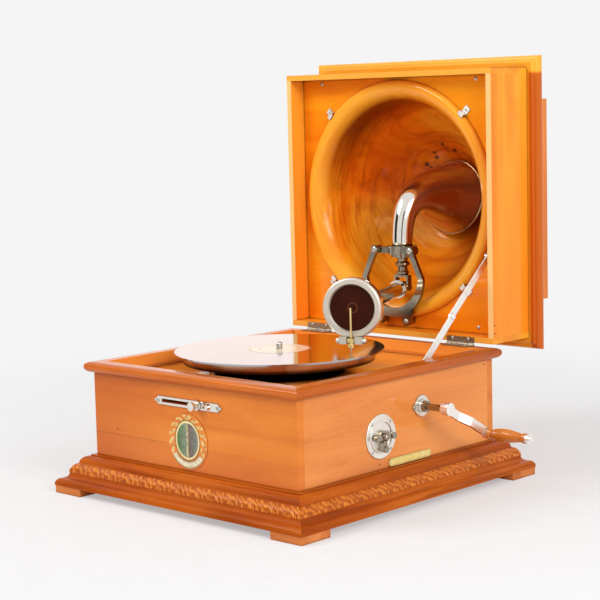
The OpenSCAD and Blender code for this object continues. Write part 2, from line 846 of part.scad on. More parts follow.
// swan-neck arm with the handle's pin
module crank_arm() {
  hub = side_x + 36;
  l = crank_len;
  step = 8;
  color(nickel) difference() {
    at_crank() {
      rod_x(7.5, hub - 3, hub + 7);
      translate([0, 0, -5]) linear_extrude(10)
        polygon([[hub, 0], [hub, l * 0.36], [hub + step, l * 0.56], [hub + step, l], [hub + step + 4.5, l],
          [hub + step + 4.5, l * 0.5], [hub + 4.5, l * 0.3], [hub + 4.5, 0]]);
      translate([0, l, 0]) {
        rod_x(6.5, hub + step, hub + step + 5);
        rod_x(3, hub + step, hub + step + 5 + handle_len + 8);
        rod_x(5, hub + step + 5.5 + handle_len, hub + step + 5 + handle_len + 5);
      }
    }
    translate([0, crank_y, crank_z]) rod_x(crank_r + 0.02, hub - 5, side_x + 42);
  }
}

module crank_handle() {
  x0 = side_x + 36 + 8 + 5 + part_gap;
  r = handle_r;
  color("#b0622a") at_crank() translate([x0, crank_len, 0]) rotate([0, 90, 0])
    rotate_extrude() polygon(concat(
      [[3 + run_fit, 0], [r * 0.85, 0], [r * 0.85, 2.5], [r * 0.62, 4]],
      [for (i = [0:12]) let (t = i / 12)
        [r * (0.62 + 0.38 * sin(180 * pow(t, 0.8))), 6 + (handle_len - 12) * t]],
      [[r * 0.75, handle_len - 3], [r * 0.75, handle_len], [3 + run_fit, handle_len]]));
}

// ---- lid ----

module lid_side(s) {
  x = lid_w / 2 - lid_board / 2;
  translate([s * x, lid_y + lid_d / 2, lid_mid])
    cube([lid_board, lid_d, lid_h - 2 * lid_board], center = true);
}

module lid_top_board() {
  color(pale_wood) box(-lid_w / 2, lid_w / 2, lid_y, lid_back, lid_z + lid_h - lid_board, lid_z + lid_h);
}

module lid_bottom_board() {
  color(pale_wood) difference() {
    box(-lid_w / 2, lid_w / 2, lid_y, lid_back, lid_z, lid_z + lid_board);
    hinge_mortise();
    lid_screw_set(screw_fit);
  }
}

module lid_left_board() {
  color(pale_wood) lid_side(-1);
}

module lid_right_board() {
  color(pale_wood) difference() {
    lid_side(1);
    translate([0, stay_head[0], stay_head[1]])
      rod_x(stud_r + screw_fit, lid_w / 2 - lid_board - 1, lid_w / 2 - 3);
  }
}

module sound_panel() {
  w = lid_w - 2 * lid_board;
  h = lid_h - 2 * lid_board;
  color(pale_wood) difference() {
    translate([0, panel_y + panel_t / 2, lid_mid]) cube([w, panel_t, h], center = true);
    at_bowl() translate([0, 0, panel_y - 1])
      cylinder(r = bowl_neck + 1.5, h = panel_t + 2, $fn = 128);
    lid_screw_set(screw_fit);
  }
}

// half-section of the bowl as [radius, depth], lip first
function bowl_profile() = let (
    lip_y = panel_y - lip_out,
    roll = 1.05 * (lip_crest - bowl_in),
    edge_y = lip_y + 14.5,
    neck = bowl_neck,
    d = bowl_depth) concat(
  arc(lip_crest, panel_y, bowl_r - lip_crest, -lip_out, 0, 80, 5),
  [for (i = [0:12]) let (t = 80 * i / 12) [lip_crest - roll * sin(t), lip_y + lip_roll * (1 - cos(t))]],
  [for (i = [2:15]) [bowl_in * cos(6 * i), edge_y + d * sin(6 * i)]],
  [[0, edge_y + d + bowl_wall]],
  [for (i = [14:-1:2]) [(bowl_in + bowl_wall) * cos(6 * i), edge_y + (d + bowl_wall) * sin(6 * i)]],
  [[neck, panel_y + panel_t + 3], [neck, panel_y]]);

module sound_bowl() {
  color(pale_wood) at_bowl() rotate_extrude($fn = 128) polygon(bowl_profile());
}

// four clips that hold the bowl's lip to the panel
module bowl_clips() {
  color(nickel) difference() {
    for (s = [-1, 1], t = [-1, 1]) rotate_clip(s, t) {
      box(bowl_r + 1, bowl_r + 11, -4, 4, 0, leaf_t);
      box(bowl_r + 1, bowl_r + 2.2, -4, 4, 0, clip_z + 1.2);
      box(bowl_r - 3, bowl_r + 2.2, -4, 4, clip_z, clip_z + 1.2);
    }
    lid_screw_set(screw_fit);
  }
}

// square back plate with moulded edges, and a round hole for the bowl
module lid_moulding() {
  w = lid_w + 2 * back_out;
  edge = back_out + 2;
  t = back_t;
  profile = concat([[0, 0], [edge - 8, 0]], arc(edge - 6, t * 0.5, 6, t * 0.38, 270, 360, 5),
    arc(edge - 4, t * 0.62, 4, t * 0.3, 0, 90, 5), [[edge - 7, t], [0, t]]);
  color(oak) difference() {
    translate([0, lid_back, lid_mid]) rotate([-90, 0, 0]) {
      mitred_ring(w - 2 * edge, w - 2 * edge, 0, edge, profile, t);
      translate([0, 0, t / 2]) cube([w - 2 * edge, w - 2 * edge, t], center = true);
    }
    at_bowl() translate([0, 0, lid_back - 1]) cylinder(r = bowl_in + 0.5, h = t + 2, $fn = 128);
  }
}

// hollow square block that houses the back of the bowl
module lid_block() {
  color(oak) difference() {
    box(-block_w / 2, block_w / 2, back_y, back_y + block_d, block_z - block_h / 2, block_z + block_h / 2);
    box(block_wall - block_w / 2, block_w / 2 - block_wall, back_y - 1, back_y + block_d - block_wall - 1,
      block_z - block_h / 2 + block_wall, block_z + block_h / 2 - block_wall);
  }
}

module hinge_lid_leaves() {
  reach = barrel_knuckle_r + part_gap;
  color(nickel) difference() {
    union() {
      leaf_plate(lid_y - leaf_t, lid_y, hinge_z + reach, lid_z + lid_board - 0.6);
      intersection() {
        leaf_plate(lid_y - leaf_t, lid_y, hinge_z, hinge_z + reach + 1);
        knuckle_slices(1, 2);
      }
      hinge_knuckles(1, 2);
    }
    hinge_pin(1 + run_fit);
    lid_screw_set(screw_fit);
  }
}

// ---- arm carrier on the lid ----

// crescent and two legs, drawn as seen from the front
module bracket_outline() {
  w = bracket_w;
  foot = lug_z + 4;
  crown = foot + w;
  difference() {
    translate([0, crown]) circle(r = w);
    translate([0, crown + 4.5]) circle(r = w - 7.5);
    translate([-w - 1, crown]) square([2 * w + 2, 2 * w]);
  }
  for (s = [-1, 1]) {
    polygon([[s * w, crown], [s * (w - 7.3), crown],
      [s * (boss_x - 4), bar_z], [s * (boss_x + 4.5), bar_z]]);
    translate([s * boss_x, bar_z]) circle(r = 5.6);
    translate([s * lug_x, lug_z]) circle(r = 6.2);
    polygon([[s * (lug_x - 6), lug_z], [s * (lug_x + 6), lug_z], [s * (lug_x + 12), foot + 10],
      [s * (lug_x - 10), foot + 6]]);
  }
}

module arm_bracket() {
  color(nickel) difference() {
    union() {
      translate([0, bracket_y + bracket_t / 2, 0]) rotate([90, 0, 0])
        linear_extrude(bracket_t) bracket_outline();
      for (s = [-1, 1]) translate([s * lug_x, 0, lug_z]) rod_y(lug_r, bracket_y, panel_y);
    }
    lid_screw_set(screw_fit);
  }
}

// bearing ring and its two bowed arms, as seen from above
module crossbar() {
  y0 = bracket_y + bracket_t / 2 + 0.02;
  color(nickel) difference() {
    union() {
      translate([0, swing_y, ring_z]) cylinder(r = ring_r, h = ring_t);
      for (s = [-1, 1]) {
        translate([0, 0, ring_z + 1.5]) linear_extrude(ring_t - 3)
          polygon([[s * 8, swing_y - 16], [s * (boss_x - 4), y0], [s * (boss_x + 5), y0],
            [s * (boss_x + 5), y0 + 6], [s * 17, swing_y - 1], [s * 8, swing_y]]);
        translate([s * boss_x, 0, bar_z]) rod_y(5.6, y0, y0 + 7);
      }
    }
    translate([0, swing_y, ring_z - 1]) cylinder(r = spigot_r + run_fit, h = ring_t + 2);
    lid_screw_set(screw_fit);
  }
}

module lid_screws() {
  color(steel) {
    lid_screw_set();
    translate([0, stay_head[0], stay_head[1]]) {
      rod_x(stud_r, stay_x - link_t - part_gap - 3.5, lid_w / 2 - 4);
      rod_x(4, stay_x - link_t, lid_w / 2 - lid_board);
      rod_x(4.2, stay_x - 2 * link_t - 3.5, stay_x - 2 * link_t - 2 * part_gap);
    }
  }
}

// cubic curve in the side view that the elbow's middle follows
function elbow_mid(t) = let (z0 = ring_z + ring_t)
  pow(1 - t, 3) * [swing_y, z0] + 3 * t * pow(1 - t, 2) * [swing_y, z0 + 67]
  + 3 * t * t * (1 - t) * [swing_y + 32, z0 + 67] + pow(t, 3) * [swing_y + 108, z0 + 56];
function elbow_r(t) = throat_r + (mouth_r - throat_r) * pow(t, 2.2);
function elbow_ring(t, less, sides) = let (
    p = elbow_mid(t),
    q = elbow_mid(t + 0.01) - elbow_mid(t - 0.01),
    n = [q[1], -q[0]] / norm(q),
    r = elbow_r(t) - less)
  [for (i = [0:sides - 1]) let (a = 360 * i / sides)
    [r * cos(a), p[0] + r * sin(a) * n[0], p[1] + r * sin(a) * n[1]]];

// horn elbow: a flaring tube swept along the curve, open at both ends
module horn_elbow() {
  rings = 18;
  sides = 28;
  wall = 1.5;
  n = sides;
  count = rings + 1;
  points = concat(
    [for (k = [0:rings]) each elbow_ring(k / rings, 0, sides)],
    [for (k = [0:rings]) each elbow_ring(k / rings, wall, sides)]);
  outside = [for (k = [0:rings - 1], i = [0:n - 1])
    [k * n + i, k * n + (i + 1) % n, (k + 1) * n + (i + 1) % n, (k + 1) * n + i]];
  inside = [for (k = [0:rings - 1], i = [0:n - 1])
    [(count + k) * n + i, (count + k + 1) * n + i, (count + k + 1) * n + (i + 1) % n,
      (count + k) * n + (i + 1) % n]];
  ends = [for (i = [0:n - 1]) each [
    [i, count * n + i, count * n + (i + 1) % n, (i + 1) % n],
    [rings * n + i, rings * n + (i + 1) % n, (count + rings) * n + (i + 1) % n, (count + rings) * n + i]]];
  quads = concat(outside, inside, ends);
  color(nickel) polyhedron(points = points,
    faces = [for (q = quads) each [[q[0], q[2], q[1]], [q[0], q[3], q[2]]]], convexity = 6);
}

// ---- stay ----

module link(from, to, x, end_hole) {
  d = to - from;
  translate([x - link_t, from[0], from[1]]) rotate([atan2(d[1], d[0]), 0, 0]) rotate([90, 0, 90])
    linear_extrude(link_t) difference() {
      round_bar(norm(d), link_w);
      circle(r = end_hole);
    }
}

// the two links meet at the knuckle with a gap between their faces
module stay_lower() {
  color(nickel) {
    link(stay_foot, stay_knee, stay_x, stud_r + run_fit);
    translate([0, stay_knee[0], stay_knee[1]]) rod_x(3.4, stay_x - eps, stay_x + 1.2);
  }
}

module stay_upper() {
  x = stay_x - link_t - part_gap;
  color(nickel) {
    link(stay_head, stay_knee, x, stud_r + run_fit);
    translate([0, stay_knee[0], stay_knee[1]]) rod_x(3.4, x - link_t - 1.2, x - link_t + eps);
  }
}

// ---- tone arm ----

// vertical pipe that turns in the crossbar's ring and forks round the knee
module arm_swivel() {
  fork_z = 13;
  top = ring_z - part_gap;
  color(nickel) translate([0, swing_y, 0]) difference() {
    union() {
      rotate_extrude() polygon(concat(
        [[0, knee_z + fork_z], [6.6, knee_z + fork_z], [6.6, top - 27], [8.4, top - 25], [8.4, top - 23],
          [6.6, top - 21]],
        arc(0, top - 12.5, 9.6, 4.8, -48, 48, 8),
        [[7, top - 7], [7, top - 5], [14.5, top - 3.5], [14.5, top], [spigot_r, top],
          [spigot_r, ring_z + ring_t + 1], [spigot_r + 1.4, ring_z + ring_t + 1],
          [spigot_r + 1.4, ring_z + ring_t + 2.5],
          [spigot_r, ring_z + ring_t + 3], [0, ring_z + ring_t + 3]]));
      box(-cheek_x - cheek_t, cheek_x + cheek_t, -4, 4, knee_z + fork_z, knee_z + fork_z + 3);
      for (s = [-1, 1]) translate([s * (cheek_x + cheek_t / 2), 0, knee_z]) {
        rod_x(cheek_r, -cheek_t / 2, cheek_t / 2);
        translate([0, 0, fork_z / 2 + 1.5]) cube([cheek_t, 8, fork_z + 3], center = true);
      }
    }
    translate([0, 0, knee_z + fork_z - 1]) cylinder(r = duct_r, h = 200);
    translate([0, 0, knee_z]) rod_x(pin_r + run_fit, -20, 20);
  }
}

// hollow ball and tongue between the swivel's fork and the arm's yoke
module arm_knuckle() {
  pin_l = cheek_x + cheek_t + 0.6;
  color(nickel) {
    difference() {
      union() {
        translate([0, swing_y, knee_z]) sphere(r = ball_r);
        at_arm() rod_x(tongue_r, 0, lift_u + 5);
      }
      translate([0, swing_y, knee_z]) cylinder(r = duct_r, h = 20);
      at_arm() rod_x(duct_r, 0, lift_u + 10);
    }
    for (s = [0, 1]) {
      translate([0, swing_y, knee_z]) rotate([0, 0, 180 * s]) rod_x(pin_r, ball_r - 3, pin_l);
      at_arm() translate([lift_u, 0, 0]) rotate([0, 0, 180 * s]) rod_y(pin_r, tongue_r - 1, 9.2);
    }
  }
}

module arm_tube() {
  yoke_in = tongue_r + part_gap + 0.2;
  yoke_t = 2.6;
  color(nickel) at_arm() difference() {
    union() {
      rod_x(arm_r, flange_u, soundbox_back - 1.5);
      rod_x(arm_r + 2, flange_u, flange_u + 3);
      rod_x(arm_r + 1.2, soundbox_back - 9, soundbox_back - 1.5);
      for (s = [-1, 1]) translate([0, s * (yoke_in + yoke_t / 2), 0]) {
        translate([lift_u, 0, 0]) rod_y(5, -yoke_t / 2, yoke_t / 2);
        translate([(lift_u + flange_u) / 2 + 0.5, 0, 0])
          cube([flange_u - lift_u + 1, yoke_t, 8], center = true);
      }
    }
    rod_x(nozzle_r + run_fit, flange_u + 3, arm_len);
    rod_x(tongue_r - 1, flange_u - 1, flange_u + 5);
    translate([lift_u, 0, 0]) rod_y(pin_r + run_fit, -20, 20);
  }
}

module soundbox_body() {
  u = soundbox_back;
  r = soundbox_r;
  face = arm_len - 6;
  color(nickel) at_arm() translate([u, 0, 0]) rotate([0, 90, 0]) rotate_extrude()
    polygon([[5.5, -14], [nozzle_r, -14], [nozzle_r, -1], [arm_r + 3, -1], [arm_r + 3, 1], [r * 0.6, 2.5],
      [r - 3, 5], [r, 8], [r, face - u - part_gap], [r - 3.5, face - u - part_gap], [r - 3.5, 9], [5.5, 6]]);
}

// front ring that clamps the diaphragm, with a foot that carries the needle bar's pivots
module soundbox_ring() {
  r = soundbox_r;
  back = arm_len - 6;
  color("#d6d2c6") at_arm() {
    difference() {
      translate([back, 0, 0]) rotate([0, 90, 0]) rotate_extrude() polygon(concat(
        [[diaphragm_r, 1.5], [diaphragm_r + 2.5, 1.5], [diaphragm_r + 2.5, 0], [r, 0]],
        arc(r - 2.5, 3.5, 2.5, 2.5, 0, 90, 5),
        [[diaphragm_r + 1.5, 6], [diaphragm_r, 4]]));
    }
    difference() {
      box(arm_len - 5, arm_len + 6, -14, 14, -r - 6, -r + 2.5);
      box(arm_len - 0.8, arm_len + 7, -5, 5, -r - 7, -r + 4);
      translate([arm_len + 3, 0, -r - 2]) rod_y(1.5 + run_fit, -10, 10);
    }
    for (s = [0, 1]) translate([arm_len + 3, 0, -r - 2]) rotate([0, 0, 180 * s]) {
      translate([0, 15.5, 0]) sphere(r = 3.4);
      rod_y(1.2, 10.5, 14);
    }
  }
}

module diaphragm() {
  color("#4a1414") at_arm() difference() {
    rod_x(diaphragm_r + 2.3, arm_len - 6, arm_len - 4.7);
    rod_x(0.9 + screw_fit, arm_len - 7, arm_len);
  }
}

// lever from the diaphragm's middle down to the needle holder
module stylus_bar() {
  r = soundbox_r;
  foot_u = arm_len + 3;
  color(brass) at_arm() {
    rod_x(0.9, arm_len - 5.5, foot_u + 0.8);
    box(foot_u - 0.8, foot_u + 0.8, -1, 1, -r, 0.8);
    box(foot_u - 2.4, foot_u + 2.4, -4, 4, -r - 4, -r + 0.5);
    translate([foot_u, 0, -r - 2]) rod_y(1.5, -9, 9);
    translate([foot_u, 0, -r - 10]) difference() {
      cylinder(r = 3.2, h = 6.5);
      translate([0, 0, -1]) cylinder(r = 0.7 + screw_fit, h = 5.5);
    }
    translate([foot_u + 3, 0, -r - 7]) rod_x(1.6, 0, 6);
  }
}

module needle() {
  r = soundbox_r;
  z0 = -needle_drop;
  color(steel) at_arm() translate([arm_len + 3, 0, z0]) {
    translate([0, 0, 1.6]) cylinder(r = 0.7, h = needle_drop - r - 6 - 1.6);
    cylinder(r1 = 0.2, r2 = 0.7, h = 1.6, $fn = 32);
  }
}

front_board();
back_board();
left_board();
right_board();
bottom_board();
plinth_moulding();
rim_moulding();
feet();
corner_posts();
motor_board();
hinge_case_leaves();
slot_plate();
regulator_plate();
crank_escutcheon();
name_plate();
front_medallion();
case_screws();
motor_top_plate();
motor_base_plate();
motor_pillars();
platter();
felt_mat();
record();
spindle();
spring_barrel();
mainspring();
winding_arbor();
intermediate_wheel();
governor_shaft();
governor_weights();
stop_knob();
brake_lever();
regulator_handle();
crank_shaft();
crank_arm();
crank_handle();
lid_top_board();
lid_bottom_board();
lid_left_board();
lid_right_board();
sound_panel();
sound_bowl();
bowl_clips();
lid_moulding();
lid_block();
hinge_lid_leaves();
arm_bracket();
crossbar();
lid_screws();
horn_elbow();
stay_lower();
stay_upper();
arm_swivel();
arm_knuckle();
arm_tube();
soundbox_body();
soundbox_ring();
diaphragm();
stylus_bar();
needle();
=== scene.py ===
"""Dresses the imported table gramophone: woods, nickel, carving, record, arm and studio."""

import math

import bmesh
import bpy
from mathutils import Matrix, Vector


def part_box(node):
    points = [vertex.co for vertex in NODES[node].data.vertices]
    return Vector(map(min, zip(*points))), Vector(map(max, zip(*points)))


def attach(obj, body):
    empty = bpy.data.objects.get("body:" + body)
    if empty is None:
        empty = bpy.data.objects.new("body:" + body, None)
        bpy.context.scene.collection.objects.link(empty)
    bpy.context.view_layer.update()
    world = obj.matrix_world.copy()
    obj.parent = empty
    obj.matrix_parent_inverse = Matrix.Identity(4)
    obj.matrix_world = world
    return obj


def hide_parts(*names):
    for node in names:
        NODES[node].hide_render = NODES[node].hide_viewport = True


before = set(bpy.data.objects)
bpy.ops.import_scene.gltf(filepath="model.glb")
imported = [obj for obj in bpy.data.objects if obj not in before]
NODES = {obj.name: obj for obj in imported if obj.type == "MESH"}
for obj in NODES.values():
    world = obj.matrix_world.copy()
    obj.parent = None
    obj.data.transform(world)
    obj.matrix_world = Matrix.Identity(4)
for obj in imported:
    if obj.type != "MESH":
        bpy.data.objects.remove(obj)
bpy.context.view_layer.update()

bl_info = {
    "name": "Table gramophone",
    "version": (1, 0, 0),
    "blender": (4, 5, 0),
    "location": "3D View > Sidebar > Gramophone",
    "description": "Dresses the packed table gramophone with woods, nickel, carving and a studio",
    "category": "Object",
}

MM = 0.001


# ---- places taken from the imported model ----

def middle(node):
    low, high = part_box(node)
    return (low + high) / 2


def size(node):
    low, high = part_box(node)
    return high - low


SPINDLE = middle("spindle").to_2d()
RECORD_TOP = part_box("record")[1].z
BOWL = middle("sound_bowl")
PANEL = middle("sound_panel")
SWIVEL = middle("arm_swivel")
LID_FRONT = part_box("lid_top_board")[0].y
LID_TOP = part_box("lid_top_board")[1].z
ELBOW_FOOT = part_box("horn_elbow")[0].z
CASE_HALF = (size("front_board").x / 2, (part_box("back_board")[1].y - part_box("front_board")[0].y) / 2)
# the rim's inner face, measured outwards from the case's outside, and so below 0
RIM_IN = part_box("motor_board")[1].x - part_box("right_board")[1].x + 1.2 * MM

# height of the joint between the front's two boards, and marks as (place, radius), in metres
FRONT_JOINT = 0.0735
FRONT_MARK = ((-0.126, -0.174, 0.080), 0.0012)
SIDE_MARKS = (((0.165, 0.158, 0.139), 0.0014), ((0.165, -0.040, 0.051), 0.0012))
LID_NAILS = (((0.166, 0.179, 0.184), 0.0014), ((0.166, 0.179, 0.174), 0.0014))
BOWL_CHIPS = (((-0.0159, 0.3155, 0.3991), 0.0026), ((-0.0005, 0.3218, 0.3908), 0.0030),
              ((-0.0323, 0.3184, 0.3880), 0.0024), ((-0.0309, 0.3220, 0.3815), 0.0034),
              ((-0.0464, 0.3204, 0.3720), 0.0034), ((-0.0419, 0.3239, 0.3671), 0.0026))

LID_PATTERN = (0, 0.2, 0.3)
PRINT_RADIUS = 0.038
LABEL_HOLE = 3.75 * MM
MICA_RING = 5.8 * MM

# the horn elbow as the solid has it: control points back and up from its foot, radii, in mm
ELBOW_CURVE = ((0, 0), (0, 67), (32, 67), (108, 56))
ELBOW_THROAT, ELBOW_MOUTH, ELBOW_FLARE, ELBOW_WALL = 13.5, 49, 2.2, 1.3

# the photograph's camera: its place, its right, up and backward directions, and its lens
CAMERA_PLACE = (1.34352, -1.42989, 0.45300)
CAMERA_AXES = ((0.7334950505, 0.6792484231, -0.0246290630),
               (-0.0611241411, 0.1020076703, 0.9929039604),
               (0.6769408027, -0.7267847102, 0.1163405978))
CAMERA_LENS, CAMERA_SENSOR = 98.96, 36


# ---- materials ----

def linear(red, green, blue):
    """A colour as it is read on a screen, 0 to 255, made linear."""
    def one(value):
        value /= 255
        return value / 12.92 if value <= 0.04045 else ((value + 0.055) / 1.055) ** 2.4
    return (one(red), one(green), one(blue))


GRAIN = {"X": (0, 0, 0), "Y": (0, 0, math.pi / 2), "Z": (0, math.pi / 2, 0)}
# dark tone of the painted shade in the narrow corners of the woods
CORNER_SHADE = linear(52, 16, 4)
NAIL_HOLE = linear(70, 22, 6)
# dark tone of the painted shade in the narrow corners of the metals
METAL_CORNER_SHADE = (0.05, 0.03, 0.02)
WARM_GLOSS = (1.0, 0.62, 0.3)


class Nodes:
    """Adds shader nodes to one material and links them as they are made."""

    def __init__(self, name):
        self.material = bpy.data.materials.new(name)
        self.material.use_nodes = True
        self.tree = self.material.node_tree
        self.shader = self.tree.nodes["Principled BSDF"]

    def add(self, kind, inputs=None, **settings):
        made = self.tree.nodes.new("ShaderNode" + kind)
        for key, value in settings.items():
            setattr(made, key, value)
        self.fill(made, inputs or {})
        return made

    def fill(self, node, inputs):
        """Sets or links sockets; a colour of three values gets its fourth."""
        for key, value in inputs.items():
            socket = node.inputs[key]
            if isinstance(value, bpy.types.NodeSocket):
                self.tree.links.new(value, socket)
            elif socket.type == "RGBA":
                socket.default_value = (*value, 1.0)[:4]
            else:
                socket.default_value = value

    def surface(self, **inputs):
        self.fill(self.shader, {key.replace("_", " "): value for key, value in inputs.items()})

    def place(self, scale=(1, 1, 1), centre=(0, 0, 0), turn=(0, 0, 0)):
        """Object coordinates, moved to a centre, turned and scaled."""
        where = self.add("TexCoord").outputs["Object"]
        shifted = self.vectors("SUBTRACT", where, centre)
        return self.add("Mapping", {"Vector": shifted, "Rotation": turn, "Scale": scale}).outputs[0]

    def parts(self, vector):
        return self.add("SeparateXYZ", {0: vector}).outputs

    def vectors(self, operation, a, b=(0, 0, 0)):
        made = self.add("VectorMath", {0: a, 1: b}, operation=operation)
        single = operation in ("LENGTH", "DISTANCE", "DOT_PRODUCT")
        return made.outputs["Value" if single else "Vector"]

    def stretch(self, vector, scale):
        return self.vectors("MULTIPLY", vector, scale)

    def radius(self, vector):
        """Distance from the upright axis."""
        return self.vectors("LENGTH", self.stretch(vector, (1, 1, 0)))

    def noise(self, vector, scale=1.0, detail=4.0, rough=0.55, bend=0.0):
        made = self.add("TexNoise", {"Vector": vector, "Scale": scale, "Detail": detail,
                                     "Roughness": rough, "Distortion": bend})
        return made.outputs["Fac"]

    def rings(self, radius, scale, detail):
        """Noise that the radius alone feeds, so that it runs in rings."""
        made = self.add("TexNoise", {"W": radius, "Scale": scale, "Detail": detail}, noise_dimensions="1D")
        return made.outputs["Fac"]

    def maths(self, operation, a, b=0.0, c=0.0):
        return self.add("Math", {0: a, 1: b, 2: c}, operation=operation).outputs[0]

    def product(self, value, *others):
        for other in others:
            value = self.maths("MULTIPLY", value, other)
        return value

    def apart(self, a, b):
        """How far two values are apart."""
        return self.maths("ABSOLUTE", self.maths("SUBTRACT", a, b))

    def past(self, value, half):
        """How far a value is outside a half size, to either side."""
        return self.maths("SUBTRACT", self.maths("ABSOLUTE", value), half)

    def hypotenuse(self, a, b):
        return self.maths("SQRT", self.maths("ADD", self.product(a, a), self.product(b, b)))

    def ramp(self, value, stops):
        made = self.add("ValToRGB", {"Fac": value})
        points = made.color_ramp.elements
        while len(points) > 1:
            points.remove(points[-1])
        for index, (at, shade) in enumerate(stops):
            point = points[0] if index == 0 else points.new(at)
            point.position = at
            point.color = (*shade, 1)
        return made.outputs["Color"]

    def spread(self, value, low, high, start=0.25, end=0.75):
        """Passes from low to high as the value passes from start to end."""
        made = self.add("MapRange", {"Value": value, "From Min": start, "From Max": end,
                                     "To Min": low, "To Max": high})
        return made.outputs["Result"]

    def mix(self, factor, a, b):
        return self.add("Mix", {0: factor, 6: a, 7: b}, data_type="RGBA").outputs[2]

    def choose(self, factor, a, b):
        return self.add("Mix", {0: factor, 2: a, 3: b}, data_type="FLOAT").outputs[0]

    def painted_corner_shade(self, colour, shade, reach=0.004, strength=0.75):
        """Darkens the narrow corners with painted shade, the more as other surfaces close in."""
        clear = self.add("AmbientOcclusion", {"Distance": reach}, samples=6).outputs["AO"]
        return self.mix(self.spread(clear, strength, 0.0, 0.4, 0.8), colour, shade)

    def relief(self, height, depth, strength=1.0):
        made = self.add("Bump", {"Height": height, "Distance": depth, "Strength": strength})
        return made.outputs["Normal"]


class SurroundNodes(Nodes):
    """The same for the world's own nodes."""

    def __init__(self, world):
        self.tree = world.node_tree


def seen_directly(nodes):
    """1 for what the camera, metal and glass look at, and 0 for the light that falls on the object."""
    seen = nodes.add("LightPath").outputs
    either = nodes.maths("MAXIMUM", seen["Is Camera Ray"], seen["Is Glossy Ray"])
    return nodes.maths("MAXIMUM", either, seen["Is Transmission Ray"])


def board_grain(nodes, grain, centre, half):
    """Object coordinates with the grain laid along the first axis."""
    if grain in GRAIN:
        return nodes.place(turn=GRAIN[grain], centre=centre)
    # a mitred frame: the grain runs along whichever side a point is on
    x, y, z = nodes.parts(nodes.place(centre=centre))
    across, third = (y, z) if grain == "XY" else (z, y)
    side = nodes.maths("GREATER_THAN", nodes.past(x, half[0]), nodes.past(across, half[1]))
    along, beside = nodes.choose(side, x, across), nodes.choose(side, across, x)
    return nodes.add("CombineXYZ", {0: along, 1: beside, 2: third}).outputs[0]


def wood_tone(nodes, vector, tones, figure=1.0, lines=0.4):
    """Colour of a board with its grain along the first axis, with the rings and pores that it came from."""
    broad = nodes.noise(nodes.stretch(vector, (2.2, 22, 22)), 1.0, 3, 0.5, 0.9 * figure)
    rings = nodes.noise(nodes.stretch(vector, (5, 130, 130)), 1.0, 4, 0.6, 0.5)
    pores = nodes.noise(nodes.stretch(vector, (70, 1500, 1500)), 1.0, 2, 0.5)
    cloud = nodes.noise(nodes.stretch(vector, (6, 9, 9)), 1.0, 2, 0.5)
    dark, mid, light = tones
    base = nodes.ramp(broad, [(0.3, dark), (0.5, mid), (0.72, light)])
    lined = nodes.mix(nodes.spread(rings, 0.0, lines, 0.52, 0.68), base, dark)
    pored = nodes.mix(nodes.spread(pores, 0.0, 0.4, 0.55, 0.75), lined, tuple(v * 0.6 for v in dark))
    return nodes.mix(nodes.spread(cloud, 0.0, 0.35, 0.4, 0.65), pored, light), rings, pores


def dotted(nodes, colour, dots, shade):
    """Small nail holes and marks, each (place, radius), over a colour."""
    where = nodes.place()
    for place, radius in dots:
        away = nodes.vectors("DISTANCE", where, place)
        colour = nodes.mix(nodes.spread(away, 0.85, 0.0, radius * 0.7, radius * 1.2), colour, shade)
    return colour


def faded(nodes, colour, axis, start, end, tone, strength):
    """Passes to another tone along an axis: 0, 1 or 2."""
    part = nodes.parts(nodes.place())[axis]
    return nodes.mix(nodes.spread(part, 0.0, strength, start, end), colour, tone)


def polish(nodes, colour, rings, pores, gloss=0.3, coat=0.25, coat_ior=1.5, shine=0.3):
    # painted shade in the narrow corners of every wood
    nodes.surface(Base_Color=nodes.painted_corner_shade(colour, CORNER_SHADE),
                  Roughness=nodes.spread(rings, gloss - 0.05, gloss + 0.08),
                  Specular_IOR_Level=shine, Specular_Tint=WARM_GLOSS,
                  Normal=nodes.relief(pores, 0.0001, 0.3),
                  Coat_Weight=coat, Coat_Roughness=0.07, Coat_IOR=coat_ior)
    return nodes.material


def polished_wood(name, tones, grain="X", gloss=0.3, coat=0.25, coat_ior=1.5, shine=0.3,
                  centre=(0, 0, 0), half=(0, 0), figure=1.0, lines=0.4, dots=(),
                  sides=None, fade=None, inside=None, edge=None, well=None):
    """French-polished wood: broad figure, fine pores along the grain, a clear coat and painted shade in its
    narrow corners.

    sides: half width, top and tone of painted shade on a frame's outer faces, below its top. fade: axis, start,
    end, tone and strength.
    inside: depth and tone of painted light on a frame's inner faces. edge: place and tone of a painted
    highlight on the front edge.
    well: middle, inner and outer radius and tone of a round painted shadow, where the coat is also taken away.
    """
    nodes = Nodes(name)
    colour, rings, pores = wood_tone(nodes, board_grain(nodes, grain, centre, half), tones, figure, lines)
    # painted shade on the frame's outer faces, below its top
    if sides:
        reach, top, tone = sides
        x, y, z = nodes.parts(nodes.place())
        upright = nodes.spread(nodes.maths("ABSOLUTE", x), 0.0, 0.85, reach, reach + 0.003)
        under = nodes.spread(z, 1.0, 0.0, top - 0.004, top)
        colour = nodes.mix(nodes.product(upright, under), colour, tone)
    if fade:
        colour = faded(nodes, colour, *fade)
    # painted light on the frame's inner faces
    if inside:
        depth, tone = inside
        x, y, z = nodes.parts(nodes.place())
        past = nodes.maths("MAXIMUM", nodes.past(x, half[0]), nodes.past(y, half[1]))
        colour = nodes.mix(nodes.spread(past, 0.9, 0.0, depth - 0.0005, depth), colour, tone)
    # a painted highlight along the front edge
    if edge:
        front, tone = edge
        colour = faded(nodes, colour, 1, front + 0.0006, front, tone, 0.8)
    # a round painted shadow, with the coat taken away there
    if well:
        place, inner, outer, tone = well
        under = nodes.spread(nodes.radius(nodes.place(centre=place)), 1.0, 0.0, inner, outer)
        colour = nodes.mix(under, colour, tone)
        coat = nodes.maths("MULTIPLY_ADD", under, -coat, coat)
    colour = dotted(nodes, colour, dots, NAIL_HOLE)
    return polish(nodes, colour, rings, pores, gloss, coat, coat_ior, shine)


